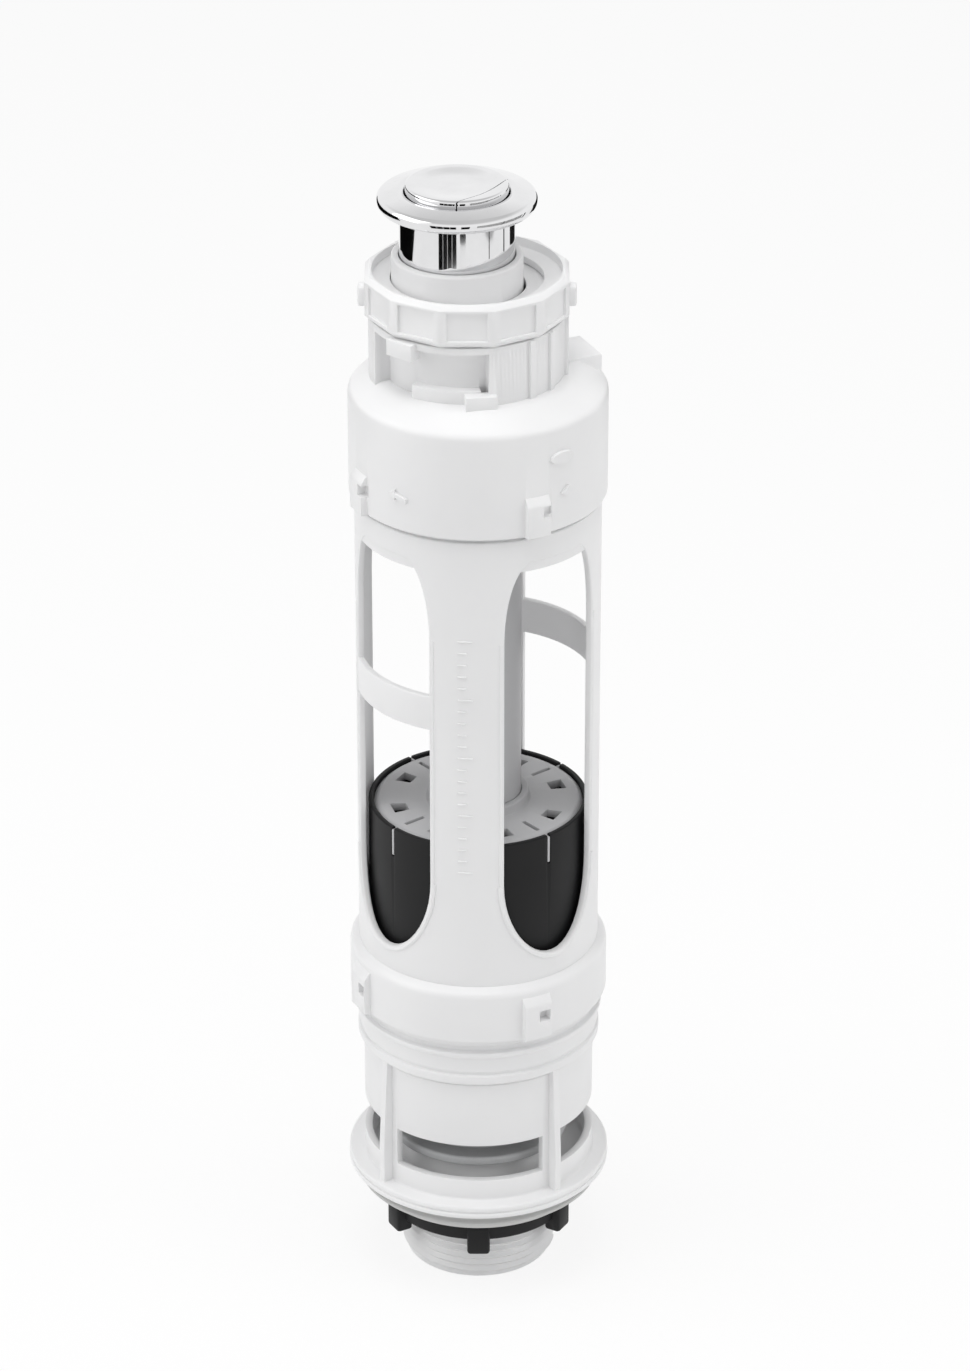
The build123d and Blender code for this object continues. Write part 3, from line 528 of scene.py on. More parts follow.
    def build(self) -> None:
        """Builds the whole studio."""
        bpy.context.scene.view_settings.view_transform = "Standard"
        self.place_camera()
        self.light_world()
        self.lay_floor()
        for lamp in self.lamps:
            self.hang_lamp(lamp)
        for number, card in enumerate(self.cards):
            self.stand_card(f"card_{number}", card)
        log.info("studio ready")


@dataclass(frozen=True)
class Corner:
    """A corner of an outline: its radius or width, its height and how far its round runs each way."""

    r: float
    z: float
    ease: float = 0.0


def rounded(corners: Sequence[Corner], steps: int = 5) -> list[Point]:
    """Turns a closed outline of corners into points, with each eased corner as a curve.

    Args:
        corners: The outline's corners in order.
        steps: Pieces of each curve.

    Returns:
        The outline's points in order.
    """
    points: list[Point] = []
    for index, corner in enumerate(corners):
        here = Vector((corner.r, corner.z))
        last = corners[index - 1]
        following = corners[(index + 1) % len(corners)]
        back = Vector((last.r, last.z)) - here
        onward = Vector((following.r, following.z)) - here
        reach = min(corner.ease, back.length * ROUND_SHARE, onward.length * ROUND_SHARE)
        if reach <= 0:
            points.append((corner.r, corner.z))
            continue
        start = here + back.normalized() * reach
        end = here + onward.normalized() * reach
        for step in range(steps + 1):
            share = step / steps
            spot = start * (1 - share) ** 2 + here * (2 * share * (1 - share)) + end * share**2
            points.append((spot.x, spot.y))
    return points


def at_angle(radius: float, degrees: float, centre: Point = AXIS) -> Point:
    """Gives the plan position at a radius and an angle from the front."""
    turn = math.radians(degrees)
    return (centre[0] + radius * math.sin(turn), centre[1] - radius * math.cos(turn))


def new_object(name: str, mesh: bpy.types.Mesh) -> Item:
    """Links a new object that holds the mesh."""
    made = bpy.data.objects.new(name, mesh)
    bpy.context.scene.collection.objects.link(made)
    return made


def from_bmesh(name: str, shape: Shape) -> Item:
    """Closes a mesh in the making and turns it into an object, still in millimetres."""
    bmesh.ops.recalc_face_normals(shape, faces=shape.faces)
    mesh = bpy.data.meshes.new(name)
    shape.to_mesh(mesh)
    shape.free()
    return new_object(name, mesh)


def bridge(shape: Shape, near: Sequence, far: Sequence) -> None:
    """Joins two closed loops of as many corners with a strip of faces."""
    for index in range(len(near)):
        beside = (index + 1) % len(near)
        distinct = list(dict.fromkeys([near[index], near[beside], far[beside], far[index]]))
        if len(distinct) > 2:
            shape.faces.new(distinct)


def spin_to(shape: Shape, angle: float, centre: Point) -> None:
    """Moves a mesh made at the front to its angle about a vertical axis."""
    spin = Matrix.Translation((*centre, 0)) @ Matrix.Rotation(math.radians(angle), 4, "Z")
    bmesh.ops.transform(shape, matrix=spin, verts=shape.verts)


def oblong(reach: Point, rise: Point, inner: float = 0.0, outer: float = 0.0) -> list[Corner]:
    """Gives a plain outline between two radii and two heights.

    Args:
        reach: Its inner and outer radius.
        rise: Its lowest and highest height.
        inner: Round of its inner corners.
        outer: Round of its outer corners.

    Returns:
        Its four corners, from the inner lower one.
    """
    (near, far), (low, high) = reach, rise
    return [
        Corner(near, low, inner),
        Corner(far, low, outer),
        Corner(far, high, outer),
        Corner(near, high, inner),
    ]


def turned(name: str, corners: Sequence[Corner], centre: Point = AXIS, steps: int = RING_STEPS) -> Item:
    """Turns a closed outline of radius and height about a vertical axis.

    Args:
        name: The object's name.
        corners: The outline, which may touch the axis.
        centre: Plan position of the axis.
        steps: Pieces of the full turn.

    Returns:
        The turned object, in millimetres.
    """
    shape = bmesh.new()
    rings = []
    for radius, height in rounded(corners):
        if radius < NEAR_ZERO:
            rings.append([shape.verts.new((*centre, height))] * steps)
            continue
        places = (at_angle(radius, 360 * step / steps, centre) for step in range(steps))
        rings.append([shape.verts.new((x, y, height)) for x, y in places])
    for ring, following in zip(rings, [*rings[1:], rings[0]]):
        bridge(shape, ring, following)
    return from_bmesh(name, shape)


def ring_part(
    name: str, corners: Sequence[Corner], middle: float, span: float, centre: Point = AXIS
) -> Item:
    """Turns a closed outline through part of a turn and closes its ends.

    Args:
        name: The object's name.
        corners: The outline of radius and height.
        middle: Angle of the part's middle, in degrees.
        span: The part's angle, in degrees.
        centre: Plan position of the axis.

    Returns:
        The object, in millimetres.
    """
    steps = max(2, round(RING_STEPS * span / 360))
    shape = bmesh.new()
    sections = []
    for step in range(steps + 1):
        angle = middle - span / 2 + span * step / steps
        places = [(*at_angle(radius, angle, centre), height) for radius, height in rounded(corners)]
        sections.append([shape.verts.new(place) for place in places])
    for near, far in zip(sections, sections[1:]):
        bridge(shape, near, far)
    shape.faces.new(sections[0])
    shape.faces.new(sections[-1])
    return from_bmesh(name, shape)


def block(
    name: str, width: float, reach: Point, rise: Point, angle: float, centre: Point = AXIS, ease: float = 0.0
) -> Item:
    """Makes an upright block beside a vertical axis.

    Args:
        name: The object's name.
        width: Its width across the angle's direction.
        reach: Its nearest and farthest distance from the axis.
        rise: Its lowest and highest height.
        angle: Its angle from the front, in degrees.
        centre: Plan position of the axis.
        ease: Round of its edges.

    Returns:
        The object, in millimetres.
    """
    shape = bmesh.new()
    bmesh.ops.create_cube(shape, size=1.0)
    for vert in shape.verts:
        vert.co.x *= width
        vert.co.y = -reach[1] if vert.co.y < 0 else -reach[0]
        vert.co.z = rise[1] if vert.co.z > 0 else rise[0]
    if ease > 0:
        bmesh.ops.bevel(shape, geom=shape.edges[:], offset=ease, segments=2, affect="EDGES", profile=0.5)
    spin_to(shape, angle, centre)
    return from_bmesh(name, shape)


def prism(name: str, outline: Sequence[Point], rise: Point) -> Item:
    """Stands a closed plan outline up between two heights."""
    shape = bmesh.new()
    foot, head = ([shape.verts.new((x, y, z)) for x, y in outline] for z in rise)
    shape.faces.new(foot)
    shape.faces.new(head)
    bridge(shape, foot, head)
    return from_bmesh(name, shape)


def flatten(piece: Item) -> None:
    """Turns a piece and its modifiers into a plain mesh."""
    graph = bpy.context.evaluated_depsgraph_get()
    mesh = bpy.data.meshes.new_from_object(piece.evaluated_get(graph))
    piece.modifiers.clear()
    old = piece.data
    piece.data = mesh
    bpy.data.meshes.remove(old)


def worked(body: Item, tools: Sequence[Item], how: Joining) -> None:
    """Cuts tools out of a body or joins them to it, and takes the tools away.

    Args:
        body: The closed mesh that is worked.
        tools: The closed meshes that are cut or joined.
        how: Whether they are cut out, added or kept in common.
    """
    for tool in tools:
        step = body.modifiers.new("work", "BOOLEAN")
        step.operation = how.value
        step.solver = "EXACT"
        step.object = tool
    flatten(body)
    for tool in tools:
        mesh = tool.data
        bpy.data.objects.remove(tool)
        bpy.data.meshes.remove(mesh)


def eased(piece: Item, width: float, steps: int = 2, angle: float = 34.0) -> None:
    """Rounds the sharp edges of a piece.

    Args:
        piece: The piece, in millimetres.
        width: Width of the round.
        steps: Pieces of the round.
        angle: Edges sharper than this many degrees are rounded.
    """
    piece.modifiers.new("weld", "WELD").merge_threshold = WELD
    round_off = piece.modifiers.new("ease", "BEVEL")
    round_off.width = width
    round_off.segments = steps
    round_off.limit_method = "ANGLE"
    round_off.angle_limit = math.radians(angle)
    round_off.use_clamp_overlap = True
    round_off.miter_outer = "MITER_ARC"
    flatten(piece)


def finished(
    piece: Item, finish: Finish, body: str, replaces: Sequence[str] = (), smooth_degrees: float = 32.0
) -> None:
    """Brings a piece to metres, dresses it and seats it on its body.

    Args:
        piece: The piece, in millimetres.
        finish: Its finish.
        body: The body that it rides on.
        replaces: CAD nodes that it stands for.
        smooth_degrees: Edges flatter than this shade as one surface.
    """
    mesh = piece.data
    mesh.transform(Matrix.Scale(MM, 4))
    mesh.materials.clear()
    mesh.materials.append(finish.material())
    mesh.polygons.foreach_set("material_index", [0] * len(mesh.polygons))
    mesh.polygons.foreach_set("use_smooth", [True] * len(mesh.polygons))
    mesh.set_sharp_from_angle(angle=math.radians(smooth_degrees))
    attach(piece, body)
    if replaces:
        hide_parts(*replaces)
    log.info("%s: %d faces", piece.name, len(mesh.polygons))


def dress_node(node: str, finish: Finish) -> None:
    """Gives a CAD node that stays in view its finish."""
    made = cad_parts[node]
    made.data.materials.clear()
    made.data.materials.append(finish.material())
    log.info("%s: dressed", node)


def rib(name: str, corners: Sequence[Corner], width: float, angle: float) -> Item:
    """Makes a flat rib that stands out from the valve's axis.

    Args:
        name: The object's name.
        corners: Its outline, as distance from the axis and height.
        width: Its thickness across the angle's direction.
        angle: Its angle from the front, in degrees.

    Returns:
        The object, in millimetres.
    """
    shape = bmesh.new()
    points = rounded(corners)
    left, right = ([shape.verts.new((x, -far, z)) for far, z in points] for x in (-width / 2, width / 2))
    shape.faces.new(left)
    shape.faces.new(right)
    bridge(shape, left, right)
    spin_to(shape, angle, AXIS)
    return from_bmesh(name, shape)


def ring_block(
    name: str, reach: Point, rise: Point, middle: float, span: float, centre: Point = AXIS
) -> Item:
    """Makes a plain part of a ring between two radii and two heights."""
    return ring_part(name, oblong(reach, rise), middle, span, centre)


def plug(name: str, radius: float, rise: Point, centre: Point = AXIS, steps: int = RING_STEPS) -> Item:
    """Makes a plain upright disc between two heights."""
    return turned(name, oblong((0.0, radius), rise), centre, steps)


def raised_pad(name: str, outline: Sequence[Point], reach: Point, slope: float) -> Item:
    """Makes a low pad that follows a round wall, with sides that lean inwards.

    Args:
        name: The object's name.
        outline: Its closed outline as arc length from the front and height.
        reach: Radius below the wall's face and radius of the pad's top.
        slope: How far its top stands back from its foot.

    Returns:
        The pad, in millimetres.
    """
    middle = Vector((sum(x for x, _ in outline), sum(z for _, z in outline))) / len(outline)
    shape = bmesh.new()
    rings = []
    for radius, inset in zip(reach, (0.0, slope)):
        ring = []
        for spot in outline:
            place = Vector(spot) + (middle - Vector(spot)).normalized() * inset
            ring.append(shape.verts.new((*at_angle(radius, math.degrees(place.x / reach[0])), place.y)))
        shape.faces.new(ring)
        rings.append(ring)
    bridge(shape, *rings)
    return from_bmesh(name, shape)


def quarters(first: float) -> list[float]:
    """Gives four angles, a right angle apart."""
    return [first + 90 * turn for turn in range(4)]


class NodeTool:
    """A Geometry Nodes tree with named inputs, put to work on one object."""

    def __init__(self, name: str, finish: Finish) -> None:
        """Starts the tree with a geometry input and output and a material input."""
        self.tree = bpy.data.node_groups.new(name, "GeometryNodeTree")
        self.values: dict[str, object] = {}
        self.sockets: dict[str, str] = {}
        self.add_socket("Geometry", "NodeSocketGeometry")
        self.tree.interface.new_socket("Geometry", in_out="OUTPUT", socket_type="NodeSocketGeometry")
        self.entry = add_node(self.tree, "NodeGroupInput")
        self.add_socket("Material", "NodeSocketMaterial", finish.material())

    def add_socket(self, name: str, kind: str, value: object = None) -> None:
        """Adds a named input and the value that it gets."""
        socket = self.tree.interface.new_socket(name, in_out="INPUT", socket_type=kind)
        self.sockets[name] = socket.identifier
        if value is not None:
            self.values[name] = value

    def add_numbers(self, **numbers: float) -> None:
        """Adds a named number input for each value, which starts with a capital there."""
        for name, value in numbers.items():
            self.add_socket(name.capitalize(), "NodeSocketFloat", value)

    def socket(self, name: str) -> Socket:
        """Gives the output of the input node with this name."""
        return self.entry.outputs[name]

    def sweep(self, curves: Socket, wire_r: float, sides: int) -> Socket:
        """Draws a round section along curves and closes its ends.

        Args:
            curves: The curves.
            wire_r: Radius of the section.
            sides: Sides of the section.

        Returns:
            The swept mesh.
        """
        self.add_numbers(wire=wire_r)
        self.add_socket("Sides", "NodeSocketInt", sides)
        circle = {"Resolution": self.socket("Sides"), "Radius": self.socket("Wire")}
        section = add_node(self.tree, "GeometryNodeCurvePrimitiveCircle", circle)
        inputs = {"Curve": curves, "Profile Curve": section.outputs[0], "Fill Caps": True}
        return add_node(self.tree, "GeometryNodeCurveToMesh", inputs).outputs[0]

    def run(self, geometry: Socket, piece: Item) -> Item:
        """Ends the tree in Realize Instances and Set Material, and leaves a plain mesh.

        Args:
            geometry: What the tree has made.
            piece: The object that it works on.

        Returns:
            The same object.
        """
        real = add_node(self.tree, "GeometryNodeRealizeInstances", {"Geometry": geometry})
        inputs = {"Geometry": real.outputs["Geometry"], "Material": self.socket("Material")}
        dressed = add_node(self.tree, "GeometryNodeSetMaterial", inputs)
        add_node(self.tree, "NodeGroupOutput", {"Geometry": dressed.outputs["Geometry"]})
        step = piece.modifiers.new("work", "NODES")
        step.node_group = self.tree
        for name, value in self.values.items():
            step[self.sockets[name]] = value
        flatten(piece)
        return piece


def copies_round(piece: Item, finish: Finish, copies: int, first_degrees: float = 0.0) -> None:
    """Repeats a piece evenly round the origin's vertical axis.

    Args:
        piece: One copy, made at the front, which holds all the copies afterwards.
        finish: Its finish.
        copies: How many there are in the turn.
        first_degrees: Angle of the first copy.
    """
    tool = NodeTool("copies_round", finish)
    tool.add_socket("Copies", "NodeSocketInt", copies)
    tool.add_numbers(pitch=FULL_TURN / copies, first=math.radians(first_degrees))
    tree = tool.tree
    spots = add_node(tree, "GeometryNodePoints", {"Count": tool.socket("Copies")})
    place = add_node(tree, "GeometryNodeInputIndex")
    numbers = (place.outputs["Index"], tool.socket("Pitch"), tool.socket("First"))
    angle = arithmetic(tree, "MULTIPLY_ADD", *numbers)
    turn = add_node(tree, "ShaderNodeCombineXYZ", {"Z": angle})
    inputs = {"Points": spots.outputs[0], "Instance": tool.socket("Geometry"), "Rotation": turn.outputs[0]}
    ring = add_node(tree, "GeometryNodeInstanceOnPoints", inputs)
    tool.run(ring.outputs["Instances"], piece)


def wound(
    name: str,
    finish: Finish,
    coil_r: float,
    wire_r: float,
    turns: float,
    rise: Point,
    centre: Point = AXIS,
    sides: int = 4,
) -> Item:
    """Winds a wire, or with four sides a pointed thread, round a vertical axis.

    Args:
        name: The object's name.
        finish: Its finish.
        coil_r: Radius from the axis to the wire's middle.
        wire_r: Radius of the wire.
        turns: How many times it goes round.
        rise: Lowest and highest height of the wire's middle.
        centre: Plan position of the axis.
        sides: Sides of the wire's section.

    Returns:
        The coil, in millimetres.
    """
    tool = NodeTool("wound", finish)
    tool.add_numbers(turns=turns, radius=coil_r, height=rise[1] - rise[0])
    tool.add_socket("Foot", "NodeSocketVector", (*centre, rise[0]))
    tree = tool.tree
    spiral = {
        "Resolution": COIL_STEPS,
        "Rotations": tool.socket("Turns"),
        "Start Radius": tool.socket("Radius"),
        "End Radius": tool.socket("Radius"),
        "Height": tool.socket("Height"),
    }
    path = add_node(tree, "GeometryNodeCurveSpiral", spiral)
    upright = add_node(tree, "GeometryNodeSetCurveNormal", {"Curve": path.outputs[0]}, mode="Z_UP")
    moved = {"Geometry": upright.outputs[0], "Translation": tool.socket("Foot")}
    lifted = add_node(tree, "GeometryNodeTransform", moved)
    swept = tool.sweep(lifted.outputs[0], wire_r, sides)
    return tool.run(swept, new_object(name, bpy.data.meshes.new(name)))


def beads_on(name: str, finish: Finish, paths: Sequence[Sequence[Vector]], radius: float) -> Item:
    """Lays a fine raised bead along open paths on a wall.

    Args:
        name: The object's name.
        finish: Its finish.
        paths: The points of each path, in millimetres.
        radius: Radius of the bead.

    Returns:
        The beads, in millimetres.
    """
    mesh = bpy.data.meshes.new(name)
    points: list[Vector] = []
    edges: list[tuple[int, int]] = []
    for path in paths:
        first = len(points)
        points.extend(path)
        edges.extend((first + step, first + step + 1) for step in range(len(path) - 1))
    mesh.from_pydata(points, edges, [])
    tool = NodeTool("beads", finish)
    lines = add_node(tool.tree, "GeometryNodeMeshToCurve", {"Mesh": tool.socket("Geometry")})
    return tool.run(tool.sweep(lines.outputs[0], radius, BEAD_SIDES), new_object(name, mesh))


def wrapped_wall(
    name: str, reach: Point, rise: Point, holes: Sequence[Sequence[Point]], ease: float
) -> Item:
    """Makes a round wall with holes whose edges are rounded, by wrapping a flat plate.

    Args:
        name: The object's name.
        reach: Its inner and outer radius.
        rise: Its lowest and highest height.
        holes: Closed outlines as arc length round the outer face and height.
        ease: Round of all its edges.

    Returns:
        The wall, in millimetres.
    """
    length = FULL_TURN * reach[1]
    flat = bpy.data.curves.new(name, "CURVE")
    flat.dimensions = "2D"
    flat.fill_mode = "BOTH"
    flat.extrude = (reach[1] - reach[0]) / 2 - ease
    flat.bevel_depth = ease
    flat.bevel_resolution = 2
    flat.offset = -ease
    left, right = -WRAP_MARGIN, length + WRAP_MARGIN
    rim = [(left, rise[0]), (right, rise[0]), (right, rise[1]), (left, rise[1])]
    for loop in [rim, *holes]:
        spline = flat.splines.new("POLY")
        spline.points.add(len(loop) - 1)
        for spot, (x, z) in zip(spline.points, loop):
            spot.co = (x, z, 0.0, 1.0)
        spline.use_cyclic_u = True
    source = bpy.data.objects.new(name, flat)
    bpy.context.scene.collection.objects.link(source)
    graph = bpy.context.evaluated_depsgraph_get()
    mesh = bpy.data.meshes.new_from_object(source.evaluated_get(graph))
    bpy.data.objects.remove(source)
    bpy.data.curves.remove(flat)
    shape = bmesh.new()
    shape.from_mesh(mesh)
    bpy.data.meshes.remove(mesh)
    bmesh.ops.remove_doubles(shape, verts=shape.verts, dist=WELD)
    for step in range(RING_STEPS + 1):
        bmesh.ops.bisect_plane(
            shape,
            geom=shape.verts[:] + shape.edges[:] + shape.faces[:],
            plane_co=(length * step / RING_STEPS, 0, 0),
            plane_no=(1, 0, 0),
            clear_inner=step == 0,
            clear_outer=step == RING_STEPS,
            dist=CUT_REACH,
        )
    middle = (reach[0] + reach[1]) / 2
    for vert in shape.verts:
        x, y = at_angle(middle + vert.co.z, math.degrees(vert.co.x / reach[1]))
        vert.co = Vector((x, y, vert.co.y))
    bmesh.ops.remove_doubles(shape, verts=shape.verts, dist=WELD)
    return from_bmesh(name, shape)


@dataclass
class Base:
    """Tail, flange, drum and collar in one moulding, with its thread and washer."""

    outlet_r: float = 20.5
    tail_r: float = 22.4
    tail_length: float = 32.0
    thread_wire_r: float = 1.2
    thread_pitch: float = 2.309
    thread_low: float = 2.4
    thread_high: float = 30.6
    flange_r: float = 40.0
    flange_top: float = 36.0
    rim_r: float = 39.9
    rim_groove_r: float = 39.45
    rim_groove: tuple[float, ...] = (33.5, 33.8, 34.1, 34.4)
    drum_r: float = 35.0
    drum_inner_r: float = 32.8
    step_low: float = 77.4
    step_high: float = 80.4
    step_r: float = 36.8
    collar_r: float = 36.5
    collar_inner_r: float = 34.3
    collar_top: float = 107.0
    collar_groove_r: float = 36.0
    collar_groove: tuple[float, ...] = (80.7, 81.3, 81.9)
    bead_foot: float = 86.8
    bead_low: float = 87.4
    bead_top: float = 88.8
    bead_r: float = 37.5
    bead_groove: tuple[float, ...] = (89.0, 90.6, 91.0)
    undercut: float = 0.6
    undercut_height: float = 0.9
    undercut_slope: float = 0.3
    inlet_low: float = 42.7
    inlet_high: float = 55.0
    inlet_span: float = 79.0
    inlet_near: float = 31.5
    inlet_far: float = 36.0
    seat_top: float = 43.0
    seat_foot_r: float = 25.5
    seat_r: float = 23.1
    seat_inner_r: float = 21.7
    throat_top: float = 41.8
    fin_near: float = 33.9
    fin_far: float = 38.2
    fin_knee: float = 48.3
    fin_width: float = 2.2
    fin_bite: float = 0.5
    washer_r: float = 24.1
    washer_low: float = 24.1
    washer_foot_r: float = 33.0
    washer_side: Point = (34.3, 26.4)
    washer_lip_r: float = 37.0
    washer_lip: Point = (27.6, 28.6)
    washer_neck: Point = (35.6, 29.0)

    def shell(self) -> None:
        """Makes the moulding with its inlets and fins."""
        corners = [
            Corner(self.outlet_r, 0, 0.5),
            Corner(self.tail_r, 0, 0.8),
            Corner(self.tail_r, self.tail_length, 0.4),
            Corner(self.flange_r, self.tail_length, 0.9),
            Corner(self.flange_r, self.rim_groove[0], 0.3),
            Corner(self.rim_groove_r, self.rim_groove[1], 0.2),
            Corner(self.rim_groove_r, self.rim_groove[2], 0.2),
            Corner(self.rim_r, self.rim_groove[3], 0.3),
            Corner(self.rim_r, self.flange_top, 1.1),
            Corner(self.drum_r, self.flange_top, 0.7),
            Corner(self.drum_r, self.step_low - self.undercut_height - self.undercut_slope, 0.3),
            Corner(self.drum_r - self.undercut, self.step_low - self.undercut_height, 0.2),
            Corner(self.drum_r - self.undercut, self.step_low),
            Corner(self.step_r, self.step_low, 0.9),
            Corner(self.step_r, self.step_high, 1.1),
            Corner(self.collar_groove_r, self.collar_groove[0], 0.3),
            Corner(self.collar_groove_r, self.collar_groove[1], 0.3),
            Corner(self.collar_r, self.collar_groove[2], 0.4),
            Corner(self.collar_r, self.bead_foot, 0.5),
            Corner(self.bead_r, self.bead_low, 0.5),
            Corner(self.bead_r, self.bead_top, 0.5),
            Corner(self.collar_r - self.undercut, self.bead_groove[0], 0.3),
            Corner(self.collar_r - self.undercut, self.bead_groove[1], 0.4),
            Corner(self.collar_r, self.bead_groove[2], 0.4),
            Corner(self.collar_r, self.collar_top, 0.5),
            Corner(self.collar_inner_r, self.collar_top, 0.5),
            Corner(self.collar_inner_r, self.step_high, 0.5),
            Corner(self.drum_inner_r, self.step_low, 0.5),
            Corner(self.drum_inner_r, self.flange_top, 0.8),
            Corner(self.seat_foot_r, self.flange_top, 0.5),
            Corner(self.seat_r, self.seat_top, 0.5),
            Corner(self.seat_inner_r, self.seat_top, 0.4),
            Corner(self.outlet_r, self.throat_top, 0.4),
        ]
        piece = turned("base_moulding", corners)
        low, high = self.flange_top - self.fin_bite, self.step_low + self.fin_bite
        fin = [
            Corner(self.fin_near, low),
            Corner(self.fin_far, low),
            Corner(self.fin_far, self.fin_knee, 1.5),
            Corner(self.step_r, high),
            Corner(self.fin_near, high),
        ]
        worked(piece, [rib("fin", fin, self.fin_width, angle) for angle in quarters(45)], Joining.ADD)
        reach, rise = (self.inlet_near, self.inlet_far), (self.inlet_low, self.inlet_high)
        holes = [ring_block("inlet", reach, rise, angle, self.inlet_span) for angle in quarters(0)]
        worked(piece, holes, Joining.CUT)
        eased(piece, 0.35)
        finished(piece, WHITE_PLASTIC, "base", ["base_body"])

    def thread(self) -> None:
        """Winds the thread on the tail."""
        turns = (self.thread_high - self.thread_low) / self.thread_pitch
        rise = (self.thread_low, self.thread_high)
        piece = wound("tail_thread", WHITE_PLASTIC, self.tail_r, self.thread_wire_r, turns, rise)
        finished(piece, WHITE_PLASTIC, "base")

    def washer(self) -> None:
        """Makes the soft washer under the flange, with its lip."""
        corners = [
            Corner(self.washer_r, self.washer_low, 0.4),
            Corner(self.washer_foot_r, self.washer_low, 1.1),
            Corner(*self.washer_side, 0.5),
            Corner(self.washer_lip_r, self.washer_lip[0], 0.4),
            Corner(self.washer_lip_r, self.washer_lip[1], 0.4),
            Corner(*self.washer_neck, 0.3),
            Corner(self.washer_neck[0], self.tail_length, 0.2),
            Corner(self.washer_r, self.tail_length, 0.2),
        ]
        finished(turned("cistern_washer", corners), WASHER_RUBBER, "base", ["sealing_washer"])

    def build(self) -> None:
        """Builds the base."""
        self.shell()
        self.thread()
        self.washer()


@dataclass
class BackNut:
    """Black ring nut with six grips."""

    bore_r: float = 23.0
    ring_r: float = 28.5
    low: float = 17.1
    high: float = 23.6
    grips: int = 6
    grip_width: float = 7.0
    grip_reach: Point = (25.4, 30.7)
    grip_rise: Point = (13.1, 23.0)
    turn: float = 5.5

    def build(self) -> None:
        """Builds the ring and its grips."""
        ring = turned("nut_ring", oblong((self.bore_r, self.ring_r), (self.low, self.high), 0.3, 0.8))
        grip = block("nut_grips", self.grip_width, self.grip_reach, self.grip_rise, 0.0, ease=1.0)
        copies_round(grip, BLACK_PLASTIC, self.grips, self.turn)
        worked(ring, [grip], Joining.ADD)
        ring.name = "back_nut_moulding"
        eased(ring, 0.25)
        finished(ring, BLACK_PLASTIC, "back_nut", ["back_nut"])


@dataclass
class Pockets:
    """Four bayonet pockets with sight holes, joined to a ring.

    Args:
        skin: Outer radius of the ring.
        rise: Their lowest and highest height.
        width: Their width.
        sight_turn: How far round the sight hole lies from the pocket's middle, in degrees.
    """

    skin: float
    rise: Point
    width: float
    sight_turn: float
    angle: float = 32.0
    reach: float = 1.7
    bite: float = 0.6
    foot_gap: float = 0.02
    slope_height: float = 2.4
    sight_size: float = 3.6
    sight_height: float = 5.8
    sight_reach: Point = (-0.9, 2.7)

    def join(self, piece: Item) -> None:
        """Joins the pockets to the ring and cuts their sight holes."""
        low, high = self.rise
        far = self.skin + self.reach
        corners = [
            Corner(self.skin - self.bite, low + self.foot_gap),
            Corner(far, low + self.foot_gap, 0.4),
            Corner(far, high - self.slope_height, 0.8),
            Corner(self.skin, high, 0.3),
            Corner(self.skin - self.bite, high),
        ]
        ribs = [rib("pocket", corners, self.width, angle) for angle in quarters(self.angle)]
        worked(piece, ribs, Joining.ADD)
        reach = (self.skin + self.sight_reach[0], self.skin + self.sight_reach[1])
        rise = (low + self.sight_height, low + self.sight_height + self.sight_size)
        angles = quarters(self.angle + self.sight_turn)
        worked(piece, [block("sight", self.sight_size, reach, rise, angle) for angle in angles], Joining.CUT)


